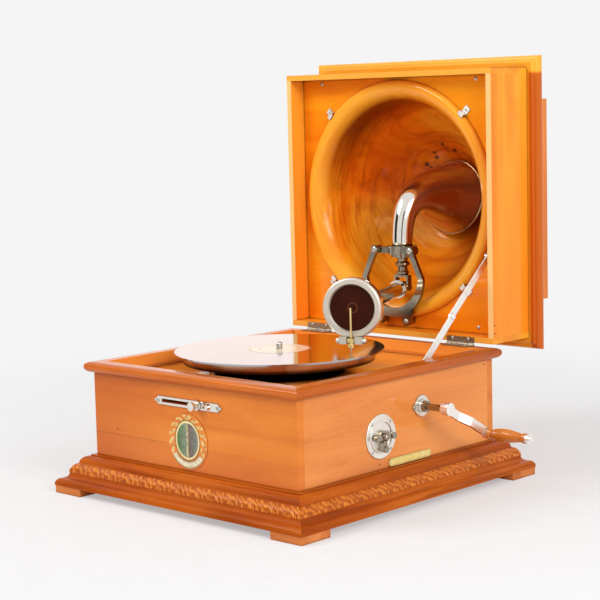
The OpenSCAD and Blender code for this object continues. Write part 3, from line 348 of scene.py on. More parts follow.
def front_tone(nodes, stain):
    """The front's two glued boards: the lower one is a little redder and its joint shows at the left."""
    tones = (linear(204, 102, 28), stain, linear(238, 144, 54))
    colour, rings, pores = wood_tone(nodes, nodes.place(centre=(0, -0.17, 0.1)), tones)
    x, y, z = nodes.parts(nodes.place())
    low = nodes.spread(z, 0.4, 0.0, FRONT_JOINT - 0.003, FRONT_JOINT + 0.001)
    colour = nodes.mix(low, colour, linear(212, 106, 44))
    left = nodes.spread(x, 0.6, 0.0, -0.17, -0.02)
    colour = nodes.mix(left, colour, linear(190, 84, 16))
    seam = nodes.product(nodes.spread(nodes.apart(z, FRONT_JOINT), 0.55, 0.0, 0.0001, 0.0009),
                         nodes.spread(x, 1.0, 0.0, -0.06, -0.01))
    colour = nodes.mix(seam, colour, linear(140, 54, 16))
    return dotted(nodes, colour, [FRONT_MARK], linear(90, 34, 12)), rings, pores


def front_wood(name, stain):
    nodes = Nodes(name)
    return polish(nodes, *front_tone(nodes, stain))


def bowl_wood(name):
    """Wood turned into a bowl: its streaks run round it; painted shade makes it darker deep in its upper left,
    and a painted highlight lightens its lip.
    """
    nodes = Nodes(name)
    vector = nodes.place(centre=tuple(BOWL))
    flat = nodes.stretch(vector, (1, 0, 1))
    away, way = nodes.vectors("LENGTH", flat), nodes.vectors("NORMALIZE", flat)
    depth = nodes.parts(vector)[1]
    face = PANEL.y - BOWL.y

    def toward(aim, start, end, low, high):
        """Passes from low to high round the bowl, towards a direction."""
        return nodes.spread(nodes.vectors("DOT_PRODUCT", way, aim), low, high, start, end)

    def deeper(start, end, low=0.0, high=1.0):
        """Passes from low to high into the bowl, between two depths behind the middle of the panel."""
        return nodes.spread(depth, low, high, face + start, face + end)

    swirl = nodes.noise(nodes.stretch(vector, (9, 9, 9)), 1.0, 2, 0.5)
    run = nodes.maths("MULTIPLY_ADD", depth, 0.7, nodes.maths("MULTIPLY_ADD", swirl, 0.012, away))
    lines = nodes.add("CombineXYZ", {0: nodes.maths("MULTIPLY", run, 55.0)}).outputs[0]
    streak_at = nodes.vectors("ADD", lines, nodes.stretch(way, (1.1, 1.1, 1.1)))
    streak = nodes.noise(streak_at, 1.0, 4, 0.6, 0.1)
    fine_at = nodes.vectors("ADD", nodes.stretch(lines, (9, 1, 1)), nodes.stretch(way, (2.5, 2.5, 2.5)))
    fine = nodes.noise(fine_at, 1.0, 3, 0.6)
    blot = nodes.noise(nodes.stretch(vector, (34, 20, 34)), 1.0, 3, 0.55)

    base = nodes.ramp(streak, [(0.32, linear(240, 114, 6)), (0.5, linear(255, 160, 26)),
                               (0.68, linear(255, 190, 56))])
    lined = nodes.mix(nodes.spread(fine, 0.0, 0.6, 0.48, 0.66), base, linear(222, 96, 6))
    # the dark colour that the painted shade in the hollow takes on, streaked and blotted like the wood
    stain = nodes.ramp(streak, [(0.32, linear(206, 72, 2)), (0.48, linear(248, 116, 10)),
                                (0.64, linear(255, 150, 28))])
    stain = nodes.mix(nodes.spread(fine, 0.0, 0.55, 0.5, 0.66), stain, linear(160, 44, 0))
    stain = nodes.mix(nodes.spread(blot, 0.0, 0.45, 0.54, 0.68), stain, linear(140, 34, 0))

    # painted shade in the hollow, then at its crown, its right and its lower right, darker still, and a painted
    # highlight on the lip
    upper_left, right, low_right = (-0.40, 0, 0.92), (1, 0, 0), (0.8, 0, -0.6)
    hollow = nodes.product(deeper(-0.004, 0.030, 0.0, 0.85), toward(upper_left, -0.3, 0.5, 0.25, 1.0))
    colour = nodes.mix(hollow, lined, stain)
    crown = nodes.product(toward(upper_left, 0.35, 0.95, 0.0, 0.92), deeper(-0.008, 0.006),
                          deeper(0.024, 0.060, 1.0, 0.0))
    colour = nodes.mix(crown, colour, linear(108, 18, 0))
    shade = nodes.mix(nodes.spread(streak, 0.0, 1.0, 0.4, 0.6), linear(128, 34, 0), linear(180, 66, 4))
    colour = nodes.mix(nodes.product(toward(right, 0.4, 0.9, 0.0, 0.85), deeper(-0.010, 0.008)), colour, shade)
    low = nodes.product(toward(low_right, 0.5, 0.95, 0.0, 0.8), deeper(-0.016, 0.006))
    colour = nodes.mix(low, colour, linear(160, 52, 2))
    # painted highlight on the lip, stronger towards the upper left
    lip = deeper(-0.012, 0.006, 0.5, 0.0)
    high = nodes.maths("MULTIPLY_ADD", toward(upper_left, 0.3, 0.9, 0.0, 0.45), lip, lip)
    colour = dotted(nodes, nodes.mix(high, colour, linear(255, 178, 50)), BOWL_CHIPS, linear(64, 22, 8))
    # painted shade in the narrow corners, as where the lip meets the panel
    nodes.surface(Base_Color=nodes.painted_corner_shade(colour, linear(60, 18, 4), 0.005),
                  Roughness=nodes.spread(fine, 0.25, 0.36), Specular_IOR_Level=0.3, Specular_Tint=WARM_GLOSS,
                  Coat_Weight=0.4, Coat_Roughness=0.08, Normal=nodes.relief(fine, 0.00006, 0.25))
    return nodes.material


def plated(name, colour, rough=0.1, spots=0.25, dull=(0.5, 0.46, 0.38), fade=None):
    """Old polished plating: clouded gloss, fine rubbing marks, faint tarnish and painted shade in its narrow
    corners.
    """
    nodes = Nodes(name)
    vector = nodes.place()
    cloud = nodes.noise(vector, 60, 4, 0.6)
    rubbed = nodes.noise(nodes.stretch(vector, (900, 300, 2400)), 1.0, 2, 0.5)
    tone = nodes.mix(nodes.spread(cloud, 0.0, spots, 0.55, 0.75), colour, dull)
    if fade:
        tone = faded(nodes, tone, *fade)
    # painted shade in the narrow corners
    nodes.surface(Base_Color=nodes.painted_corner_shade(tone, METAL_CORNER_SHADE, 0.002, 0.6), Metallic=1.0,
                  Roughness=nodes.spread(cloud, rough * 0.7, rough * 1.8),
                  Normal=nodes.relief(rubbed, 0.00002, 0.3))
    return nodes.material


def shellac(name):
    """Grooved record: the bands of sound show as rings round the spindle."""
    nodes = Nodes(name)
    vector = nodes.place(centre=(*SPINDLE, 0))
    radius = nodes.radius(vector)
    bands, grooves = nodes.rings(radius, 420.0, 3.0), nodes.rings(radius, 1900.0, 1.0)
    dust = nodes.noise(vector, 180, 5, 0.6)
    colour = nodes.ramp(bands, [(0.3, linear(30, 14, 9)), (0.7, linear(58, 30, 20))])
    dusty = nodes.mix(nodes.spread(dust, 0.0, 0.2, 0.55, 0.8), colour, linear(104, 72, 56))
    nodes.surface(Base_Color=dusty, Roughness=nodes.spread(bands, 0.08, 0.2), IOR=2.6,
                  Specular_IOR_Level=0.6, Coat_Weight=1.0, Coat_IOR=3.2, Coat_Roughness=0.06,
                  Normal=nodes.relief(grooves, 0.00003, 0.2))
    return nodes.material


def felt(name, colour):
    nodes = Nodes(name)
    vector = nodes.place()
    fibres = nodes.noise(vector, 1400, 3, 0.6)
    tufts = nodes.noise(vector, 160, 3, 0.5)
    shaded = nodes.mix(nodes.spread(tufts, 0.0, 0.6), colour, tuple(v * 0.5 for v in colour))
    nodes.surface(Base_Color=shaded, Roughness=0.95, Sheen_Weight=0.4,
                  Normal=nodes.relief(fibres, 0.0004, 0.6))
    return nodes.material


def mica(name):
    """Dark diaphragm with faint pressed rings round its middle."""
    nodes = Nodes(name)
    vector = nodes.place(centre=tuple(middle("diaphragm")))
    radius = nodes.vectors("LENGTH", vector)
    rings = nodes.rings(radius, 500.0, 1.0)
    cloud = nodes.noise(vector, 90, 4, 0.6)
    colour = nodes.ramp(cloud, [(0.3, linear(40, 9, 5)), (0.7, linear(60, 16, 8))])
    ringed = nodes.mix(nodes.spread(nodes.apart(radius, MICA_RING), 0.5, 0.0, 0.0004, 0.0012),
                       colour, linear(120, 62, 40))
    nodes.surface(Base_Color=ringed, Roughness=nodes.spread(rings, 0.4, 0.55), Specular_IOR_Level=0.2,
                  Specular_Tint=(1.0, 0.6, 0.4), Normal=nodes.relief(rings, 0.0002, 0.5))
    return nodes.material


def painted_transfer(name, stain):
    """Generic transfer on the front's own wood: a parted oval in a laurel wreath over an empty ribbon."""
    nodes = Nodes(name)
    wood, rings, pores = front_tone(nodes, stain)
    reach = size("front_medallion").x / 2
    x, y, z = nodes.parts(nodes.place(centre=tuple(middle("front_medallion")), scale=(1 / reach,) * 3))
    away = nodes.hypotenuse(x, z)
    turn = nodes.maths("ABSOLUTE", nodes.maths("ARCTAN2", x, nodes.maths("MULTIPLY", z, -1.0)))
    oval = nodes.hypotenuse(nodes.maths("DIVIDE", x, 0.54),
                            nodes.maths("DIVIDE", nodes.maths("SUBTRACT", z, 0.04), 0.62))
    cloud = nodes.noise(nodes.place(), 240, 4, 0.6)
    worn = nodes.noise(nodes.place(), 600, 3, 0.6)
    # laurel leaves stand slanted round the oval
    slant = nodes.maths("MULTIPLY_ADD", away, 9.0, nodes.maths("MULTIPLY", turn, 8.0))
    wave = nodes.maths("SINE", nodes.maths("MULTIPLY", slant, 2.0))
    wreath = nodes.spread(nodes.apart(away, 0.82), 1.0, 0.0, 0.10, 0.15)
    leaf = nodes.product(nodes.spread(wave, 0.0, 1.0, -0.35, 0.1), wreath,
                         nodes.spread(turn, 0.0, 1.0, 0.95, 1.0), 0.9)
    leaf_tone = nodes.ramp(cloud, [(0.35, linear(176, 92, 40)), (0.5, linear(232, 200, 120)),
                                   (0.65, linear(244, 232, 180))])
    colour = nodes.mix(leaf, wood, leaf_tone)
    # ribbon below
    off = nodes.apart(away, 0.83)
    ribbon = nodes.product(nodes.spread(off, 1.0, 0.0, 0.11, 0.13), nodes.spread(turn, 1.0, 0.0, 0.92, 0.95))
    cloth = nodes.ramp(cloud, [(0.3, linear(206, 196, 150)), (0.6, linear(240, 236, 206))])
    hemmed = nodes.mix(nodes.spread(off, 0.0, 0.8, 0.075, 0.095), cloth, linear(112, 116, 84))
    colour = nodes.mix(ribbon, colour, hemmed)
    # parted field in its gold edge
    field = nodes.ramp(nodes.maths("MULTIPLY_ADD", x, 0.9, 0.5),
                       [(0.1, linear(84, 132, 84)), (0.42, linear(134, 156, 134)), (0.5, linear(226, 210, 160)),
                        (0.56, linear(118, 104, 96)), (0.9, linear(132, 140, 136))])
    shaded = nodes.mix(nodes.spread(cloud, 0.0, 0.6, 0.4, 0.65), field, linear(60, 72, 52))
    colour = nodes.mix(nodes.spread(oval, 1.0, 0.0, 1.0, 1.03), colour, shaded)
    gold = nodes.spread(nodes.apart(oval, 1.05), 1.0, 0.0, 0.05, 0.08)
    colour = nodes.mix(gold, colour, linear(236, 220, 160))
    outline = nodes.spread(nodes.apart(oval, 1.15), 0.8, 0.0, 0.02, 0.05)
    colour = nodes.mix(outline, colour, linear(88, 72, 40))
    colour = nodes.mix(nodes.spread(worn, 0.0, 0.45, 0.6, 0.68), colour, wood)
    return polish(nodes, colour, rings, pores)


def engraved_plate(name):
    """Blank brass plate with an engraved line inside its edge."""
    nodes = Nodes(name)
    reach = size("name_plate") / 2
    x, y, z = nodes.parts(nodes.place(centre=tuple(middle("name_plate"))))
    inset = nodes.maths("MINIMUM", nodes.maths("SUBTRACT", reach.y, nodes.maths("ABSOLUTE", y)),
                        nodes.maths("SUBTRACT", reach.z, nodes.maths("ABSOLUTE", z)))
    line = nodes.spread(nodes.apart(inset, 0.0011), 0.7, 0.0, 0.0001, 0.0004)
    cloud = nodes.noise(nodes.place(), 160, 4, 0.6)
    brushed = nodes.noise(nodes.place(scale=(300, 40, 1800)), 1.0, 2)
    tone = nodes.ramp(cloud, [(0.3, linear(244, 214, 120)), (0.7, linear(252, 236, 160))])
    nodes.surface(Base_Color=nodes.mix(line, tone, linear(120, 92, 36)), Metallic=0.75,
                  Roughness=nodes.spread(brushed, 0.25, 0.4), Normal=nodes.relief(brushed, 0.00003, 0.3))
    return nodes.material


def carved_wood(name):
    """Dark carved band: painted shade in its hollows and a painted highlight on its crests."""
    nodes = Nodes(name)
    vector = nodes.place()
    depth = nodes.add("Attribute", attribute_name="relief").outputs["Fac"]
    cloud = nodes.noise(vector, 60, 4, 0.6)
    grain = nodes.noise(nodes.stretch(vector, (200, 200, 900)), 1.0, 3, 0.55)
    # the carving's height sets painted shade in the hollows and a painted highlight on the crests
    colour = nodes.ramp(depth, [(0.0, linear(110, 40, 2)), (0.35, linear(176, 82, 12)),
                                (0.65, linear(218, 118, 28)), (1.0, linear(240, 154, 60))])
    worn = nodes.mix(nodes.spread(cloud, 0.0, 0.5, 0.45, 0.65), colour, linear(160, 70, 12))
    nodes.surface(Base_Color=worn, Roughness=nodes.spread(grain, 0.3, 0.45), Specular_IOR_Level=0.35,
                  Specular_Tint=(1.0, 0.65, 0.35), Coat_Weight=0.1, Normal=nodes.relief(grain, 0.0001, 0.4))
    return nodes.material


def label_paper(name):
    """Blank cream label with two printed rings."""
    nodes = Nodes(name)
    vector = nodes.place(centre=(*SPINDLE, 0))
    bare, inked = (0, 0, 0), (1, 1, 1)
    stops = [(0.0, bare)]
    for start, end in ((0.6, 0.64), (0.9, 0.96)):
        stops += [(start, bare), (start + 0.01, inked), (end - 0.01, inked), (end, bare)]
    ink = nodes.ramp(nodes.maths("DIVIDE", nodes.radius(vector), PRINT_RADIUS), stops)
    age = nodes.noise(vector, 120, 4, 0.6)
    paper = nodes.ramp(age, [(0.3, linear(232, 212, 176)), (0.7, linear(246, 234, 208))])
    nodes.surface(Base_Color=nodes.mix(ink, paper, linear(190, 150, 96)),
                  Roughness=nodes.spread(age, 0.3, 0.45), Coat_Weight=0.6, Coat_IOR=1.8, Coat_Roughness=0.15,
                  Normal=nodes.relief(nodes.noise(vector, 2500, 2), 0.00005, 0.4))
    return nodes.material


def floor_paint(name, shade, near=0.45, start=0.45, end=1.3):
    """Plain pale floor. What is seen of it passes to the backdrop's own tone further from the object."""
    nodes = Nodes(name)
    vector = nodes.place()
    paint = nodes.ramp(nodes.noise(vector, 30, 3), [(0.3, (0.85, 0.85, 0.85)), (0.7, (0.88, 0.88, 0.88))])
    nodes.surface(Base_Color=paint, Roughness=0.9, Specular_IOR_Level=0.0)
    far = nodes.add("MapRange", {"Value": nodes.radius(vector), "From Min": start, "From Max": end,
                                 "To Min": near, "To Max": 1.0},
                    interpolation_type="SMOOTHSTEP").outputs["Result"]
    glow = nodes.add("Emission", {"Color": (shade, shade, shade), "Strength": 1.0})
    blend = nodes.add("MixShader", {0: nodes.product(seen_directly(nodes), far),
                                    1: nodes.shader.outputs[0], 2: glow.outputs[0]})
    nodes.fill(nodes.tree.nodes["Material Output"], {"Surface": blend.outputs[0]})
    return nodes.material


def screen_cloth(name, shade, glow=0.0):
    """Woven cloth of a studio screen, seen only as a painted reflection, which may glow a little."""
    nodes = Nodes(name)
    weave = nodes.noise(nodes.place(), 300, 2)
    tone = nodes.ramp(weave, [(0.3, tuple(v * 0.8 for v in shade)), (0.7, shade)])
    nodes.surface(Base_Color=tone, Roughness=0.95, Specular_IOR_Level=0.0,
                  Emission_Color=tone, Emission_Strength=glow)
    return nodes.material


def finish(names, material):
    for name in names:
        mesh = NODES[name].data
        if not mesh.materials:
            mesh.materials.append(material)
        for index in range(len(mesh.materials)):
            mesh.materials[index] = material


# ---- new pieces ----

def new_object(name, shape, material):
    mesh = bpy.data.meshes.new(name)
    shape.to_mesh(mesh)
    shape.free()
    mesh.materials.append(material)
    made = bpy.data.objects.new(name, mesh)
    bpy.context.scene.collection.objects.link(made)
    return made


def add_piece(name, shape, material, body, replaces=(), smooth=True):
    piece = new_object(name, shape, material)
    for face in piece.data.polygons:
        face.use_smooth = smooth
    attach(piece, body)
    if replaces:
        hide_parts(*replaces)


def tone(name, description, default):
    """A colour for the sidebar's panel."""
    return bpy.props.FloatVectorProperty(name=name, description=description, default=default, size=3,
                                         min=0.0, max=1.0, subtype="COLOR")


class WoodSettings(bpy.types.PropertyGroup):
    front: tone("Front", "Middle tone of the front board", linear(226, 124, 38))
    side: tone("Sides", "Middle tone of the side boards", linear(228, 134, 58))
    back: tone("Back", "Middle tone of the back and of the wood inside", linear(224, 128, 52))
    deck: tone("Deck", "Middle tone of the board under the turntable", linear(255, 162, 60))
    rim: tone("Rim", "Middle tone of the rim moulding", linear(196, 92, 18))
    plinth: tone("Plinth", "Middle tone of the plinth moulding", linear(180, 80, 8))
    feet: tone("Feet", "Middle tone of the feet", linear(214, 124, 62))
    lid: tone("Lid", "Middle tone of the lid's frame and of its moulding", linear(252, 164, 38))
    block: tone("Block", "Middle tone of the block behind the lid", linear(232, 134, 52))
    panel: tone("Sound panel", "Middle tone of the panel round the bowl", linear(255, 142, 10))
    grip: tone("Crank grip", "Middle tone of the crank's turned grip", linear(204, 112, 38))


class MetalSettings(bpy.types.PropertyGroup):
    nickel: tone("Nickel", "Bright plating of the elbow, the arm tube and the plates", (0.80, 0.76, 0.69))
    aged: tone("Aged nickel", "Darker plating of the arm's bracket and of the crank", (0.36, 0.31, 0.23))
    steel: tone("Steel", "Bare steel of the screws and of the motor", (0.52, 0.50, 0.47))
    brass: tone("Brass", "Brass of the stylus bar and of the motor's wheels", (0.86, 0.66, 0.28))
    felt: tone("Felt", "Cloth under the record", linear(80, 34, 22))


class CarvingSettings(bpy.types.PropertyGroup):
    pitch: bpy.props.FloatProperty(
        name="Leaf pitch", description="Distance from one carved leaf to the next",
        default=0.0105, min=0.006, max=0.03, unit="LENGTH")
    depth: bpy.props.FloatProperty(
        name="Leaf depth", description="How far the leaves stand out from the moulding",
        default=0.0008, min=0.0, max=0.003, unit="LENGTH")


class RecordSettings(bpy.types.PropertyGroup):
    label_radius: bpy.props.FloatProperty(
        name="Label radius", description="Radius of the paper label",
        default=0.037, min=0.02, max=0.05, unit="LENGTH")


class ElbowSettings(bpy.types.PropertyGroup):
    bead: bpy.props.FloatProperty(
        name="Rim bead", description="Radius of the bead round the elbow's mouth",
        default=0.0016, min=0.0005, max=0.003, unit="LENGTH")


class StudioSettings(bpy.types.PropertyGroup):
    backdrop: bpy.props.FloatProperty(
        name="Backdrop", description="Linear tone of the plain backdrop",
        default=0.9131, min=0.0, max=1.0, subtype="FACTOR")
    soft_light: bpy.props.FloatProperty(
        name="Soft light", description="Strength of the light from all round",
        default=0.55, min=0.0, max=3.0)
    key_light: bpy.props.FloatProperty(
        name="Key light", description="Power of the large lamp at the left",
        default=34.0, min=0.0, max=500.0, unit="POWER")
    fill_light: bpy.props.FloatProperty(
        name="Fill light", description="Power of the large lamp at the right",
        default=26.0, min=0.0, max=500.0, unit="POWER")


class GramophoneSettings(bpy.types.PropertyGroup):
    woods: bpy.props.PointerProperty(type=WoodSettings)
    metals: bpy.props.PointerProperty(type=MetalSettings)
    carving: bpy.props.PointerProperty(type=CarvingSettings)
    record: bpy.props.PointerProperty(type=RecordSettings)
    elbow: bpy.props.PointerProperty(type=ElbowSettings)
    studio: bpy.props.PointerProperty(type=StudioSettings)


class GRAMOPHONE_OT_woods(bpy.types.Operator):
    """Gives each wooden part its own polished wood"""
    bl_idname = "gramophone.woods"
    bl_label = "Polish the woods"

    def execute(self, context):
        stain = context.scene.gramophone.woods
        side = (linear(206, 110, 42), stain.side, linear(240, 154, 76))
        back = (linear(200, 104, 40), stain.back, linear(236, 146, 70))
        deck = (linear(234, 128, 40), stain.deck, linear(255, 188, 90))
        rim = (linear(158, 68, 8), stain.rim, linear(218, 116, 34))
        plinth = (linear(136, 50, 2), stain.plinth, linear(206, 106, 22))
        block = (linear(204, 106, 32), stain.block, linear(244, 154, 72))
        feet = (linear(182, 96, 40), stain.feet, linear(230, 144, 82))
        lid = (linear(232, 124, 18), stain.lid, linear(255, 190, 66))
        panel = (linear(234, 106, 2), stain.panel, linear(255, 170, 30))
        grip = (linear(166, 84, 24), stain.grip, linear(226, 138, 60))
        # painted highlight along the front edges of the lid's boards
        pale_front = LID_FRONT + 0.0003
        # painted shadow of the platter on the deck beneath it
        painted_platter_shadow = ((*SPINDLE, 0), 0.076, 0.096, linear(16, 5, 3))

        finish(["front_board"], front_wood("front_oak", stain.front))
        finish(["back_board"], polished_wood("back_oak", back, centre=(0, 0.17, 0.1)))
        finish(["left_board", "right_board"],
               polished_wood("side_oak", side, "Y", centre=(0.16, 0, 0.1), coat=0.5, dots=SIDE_MARKS,
                             fade=(1, -0.05, 0.17, linear(250, 158, 74), 0.5)))
        finish(["motor_board"],
               polished_wood("deck_oak", deck, centre=(0, 0, 0.14), gloss=0.2, coat=1.0, coat_ior=1.9,
                             shine=0.0, well=painted_platter_shadow))
        finish(["bottom_board", "corner_posts"], polished_wood("inner_oak", back, gloss=0.4, coat=0.0))
        # the rim's inner faces are lightened with painted light
        finish(["rim_moulding"],
               polished_wood("rim_oak", rim, "XY", gloss=0.22, coat=0.3, shine=0.2, half=CASE_HALF, lines=0.7,
                             inside=(RIM_IN, linear(255, 164, 70))))
        finish(["plinth_moulding"],
               polished_wood("plinth_oak", plinth, "XY", coat=0.06, shine=0.15, half=CASE_HALF, lines=0.8))
        finish(["feet"], polished_wood("foot_oak", feet, gloss=0.45, coat=0.0))
        # the lid's side boards get painted shade towards the bottom
        finish(["lid_left_board", "lid_right_board"],
               polished_wood("lid_side_wood", lid, "Z", centre=LID_PATTERN, figure=0.6, dots=LID_NAILS,
                             fade=(2, 0.47, 0.20, linear(252, 134, 22), 0.75),
                             edge=(pale_front, linear(250, 210, 140))))
        finish(["lid_top_board", "lid_bottom_board"],
               polished_wood("lid_end_wood", lid, centre=LID_PATTERN, figure=0.6,
                             fade=(2, LID_TOP - 0.0008, LID_TOP - 0.0004, linear(170, 90, 38), 0.75),
                             edge=(pale_front, linear(250, 176, 70))))
        # the moulding's outer faces below the lid top get painted shade
        finish(["lid_moulding"],
               polished_wood("lid_back_wood", lid, "XZ", centre=(0, 0, PANEL.z), half=(0.16, 0.16),
                             sides=(0.167, 0.49, linear(192, 68, 2))))
        # the block gets painted shade towards the bottom
        finish(["lid_block"],
               polished_wood("block_wood", block, "Z", coat=0.3,
                             fade=(2, 0.47, 0.2, linear(226, 112, 36), 0.4)))
        finish(["sound_panel"], polished_wood("panel_wood", panel, gloss=0.24, coat=0.35, centre=LID_PATTERN))
        finish(["sound_bowl"], bowl_wood("turned_bowl_wood"))
        finish(["crank_handle"], polished_wood("handle_wood", grip, gloss=0.2, coat=0.6))
        return {"FINISHED"}


class GRAMOPHONE_OT_metals(bpy.types.Operator):
    """Gives each metal part its plating, and the soft parts their cloth and shellac"""
    bl_idname = "gramophone.metals"
    bl_label = "Plate the metals"

    def execute(self, context):
        settings = context.scene.gramophone
        metal = settings.metals
        finish(["slot_plate", "crank_escutcheon", "stop_knob", "horn_elbow", "arm_tube", "soundbox_body"],
               plated("polished_nickel", metal.nickel, 0.09))
        finish(["arm_bracket", "crossbar", "arm_swivel", "arm_knuckle", "regulator_handle", "crank_shaft"],
               plated("aged_nickel", metal.aged, 0.11, 0.5, dull=(0.24, 0.19, 0.11)))
        finish(["case_screws", "lid_screws", "motor_top_plate", "motor_base_plate", "motor_pillars", "spindle",
                "spring_barrel", "mainspring", "winding_arbor", "governor_shaft", "brake_lever", "needle"],
               plated("machined_steel", metal.steel, 0.24))
        finish(["stylus_bar", "intermediate_wheel", "governor_weights"],
               plated("bright_brass", metal.brass, 0.2, dull=(0.5, 0.33, 0.1)))
        # painted shade at the foot of the platter's edge, a painted reflection of the dark deck that it mirrors
        # there
        finish(["platter"],
               plated("darkened_nickel", (0.56, 0.43, 0.31), 0.16, 0.4, dull=(0.2, 0.14, 0.1),
                      fade=(2, 0.1605, 0.1565, (0.03, 0.015, 0.012), 0.95)))
        finish(["crank_arm"], plated("bright_crank_plating", (0.98, 0.95, 0.9), 0.28, 0.1))
        finish(["regulator_plate"], plated("satin_dial_plate", (0.92, 0.89, 0.82), 0.3, 0.2))
        finish(["hinge_case_leaves", "hinge_lid_leaves"],
               plated("tarnished_hinge", (0.46, 0.38, 0.28), 0.3, 0.7, dull=(0.2, 0.15, 0.1)))
        finish(["stay_lower", "stay_upper", "bowl_clips"], plated("satin_stay", (0.92, 0.92, 0.88), 0.42, 0.4))
        finish(["soundbox_ring"], plated("satin_pale_metal", (0.72, 0.66, 0.56), 0.32, 0.4))
        finish(["name_plate"], engraved_plate("engraved_brass"))
        finish(["felt_mat"], felt("mat_felt", metal.felt))
        finish(["record"], shellac("grooved_shellac"))
        finish(["diaphragm"], mica("dark_diaphragm"))
        finish(["front_medallion"], painted_transfer("varnished_transfer", settings.woods.front))
        return {"FINISHED"}


def smooth_step(value, start, end):
    share = min(max((value - start) / (end - start), 0), 1)
    return share * share * (3 - 2 * share)


def leaf_height(along, up):
    """Height, 0 to 1, of the carved band: along in leaves, up from 0 at its lower edge to 1 at its upper.

    Low curled leaves lean over each other, each with fine veins and a small eye, and no two are quite alike.
    """
    number = math.floor(along)
    odd = math.sin(number * 12.9898) * 0.5 + math.sin(number * 4.1) * 0.5
    lean = along - 0.42 * up - 0.16 * math.sin(2 * math.pi * (up + 0.06 * odd))
    share = lean - math.floor(lean)
    curl = math.sin(2 * math.pi * (1.3 * share + 1.9 * up + 0.25 * math.sin(2.3 * along)))
    veins = math.cos(2 * math.pi * (3 * share + 3.1 * up + 0.3 * odd)) * math.sin(math.pi * share)
    gap = 1 - 0.4 * math.exp(-((share - 0.97) / 0.06) ** 2) - 0.3 * math.exp(-((share - 0.03) / 0.05) ** 2)
    eye = 0.55 * math.exp(-((share - 0.3) / 0.09) ** 2 - ((up - 0.34 - 0.08 * odd) / 0.1) ** 2)
    nick = 0.3 * math.exp(-((share - 0.66) / 0.07) ** 2 - ((up - 0.72) / 0.12) ** 2)
    height = (0.6 + 0.24 * curl + 0.26 * veins) * gap - eye - nick
    return max(height, 0) * smooth_step(up, 0.02, 0.1) * (1 - smooth_step(up, 0.9, 0.98))


class GRAMOPHONE_OT_carved_band(bpy.types.Operator):
    """Carves the leaf band along the plinth moulding's swelling"""
    bl_idname = "gramophone.carved_band"
    bl_label = "Carve the plinth band"

    def execute(self, context):
        settings = context.scene.gramophone.carving
        low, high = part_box("plinth_moulding")
        out, tall, foot = high.x - CASE_HALF[0], high.z - low.z, low.z
        # the oval that the solid's swelling follows, and the stretch of it that is carved
        hub = (out * 0.43 - 4 * MM, foot + tall * 0.4)
        reach = (out * 0.21 + 4 * MM, tall * 0.325)
        first, last = math.radians(-4), math.radians(70)
        steps, sunk = 14, 0.25 * MM
        shape = bmesh.new()
        layer = shape.verts.layers.float.new("relief")
        for side in range(4):
            half, beside = CASE_HALF if side % 2 == 0 else CASE_HALF[::-1]
            run = half + hub[0] + reach[0]
            leaves = round(2 * run / settings.pitch / 2) * 2
            made = bmesh.ops.create_grid(shape, x_segments=leaves * steps, y_segments=steps, size=1)
            turn = Matrix.Rotation(side * math.pi / 2, 3, "Z")
            for vert in made["verts"]:
                t, up = vert.co.x, (vert.co.y + 1) / 2
                angle = first + (last - first) * up
                height = leaf_height((t + 1) / 2 * leaves, up)
                normal = Vector((math.cos(angle) / reach[0], math.sin(angle) / reach[1])).normalized()
                lift = height * settings.depth - sunk * (1 - smooth_step(min(up, 1 - up), 0, 0.08))
                offset = hub[0] + reach[0] * math.cos(angle) + lift * normal.x
                level = hub[1] + reach[1] * math.sin(angle) + lift * normal.y
                vert.co = turn @ Vector((t * (half + offset), -(beside + offset), level))
                # the height also feeds the carving's painted shade and highlight
                vert[layer] = height
        bmesh.ops.remove_doubles(shape, verts=shape.verts, dist=1e-6)
        bmesh.ops.recalc_face_normals(shape, faces=shape.faces)
        add_piece("carved_leaf_band", shape, carved_wood("carved_plinth_wood"), "case")
        return {"FINISHED"}


class GRAMOPHONE_OT_record_label(bpy.types.Operator):
    """Lays the blank paper label on the record"""
    bl_idname = "gramophone.record_label"
    bl_label = "Lay the record label"

    def execute(self, context):
        radius = context.scene.gramophone.record.label_radius
        shape = bmesh.new()
        for each in (LABEL_HOLE, radius):
            bmesh.ops.create_circle(shape, cap_ends=False, segments=96, radius=each)
        bmesh.ops.bridge_loops(shape, edges=shape.edges[:])
        bmesh.ops.recalc_face_normals(shape, faces=shape.faces)
        if shape.faces[0].normal.z < 0:
            bmesh.ops.reverse_faces(shape, faces=shape.faces)
        bmesh.ops.translate(shape, verts=shape.verts, vec=(*SPINDLE, RECORD_TOP + 0.06 * MM))
        paper = label_paper("cream_label_paper")
        add_piece("record_label", shape, paper, "turntable", smooth=False)
        return {"FINISHED"}


def elbow_station(t):
    """Middle of the horn elbow in its side view, (y, z), and its radius there."""
    foot = Vector((SWIVEL.y, ELBOW_FOOT))
    a, b, c, d = (foot + Vector(point) * MM for point in ELBOW_CURVE)
    place = (1 - t) ** 3 * a + 3 * t * (1 - t) ** 2 * b + 3 * t * t * (1 - t) * c + t ** 3 * d
    return place, (ELBOW_THROAT + (ELBOW_MOUTH - ELBOW_THROAT) * max(t, 0) ** ELBOW_FLARE) * MM


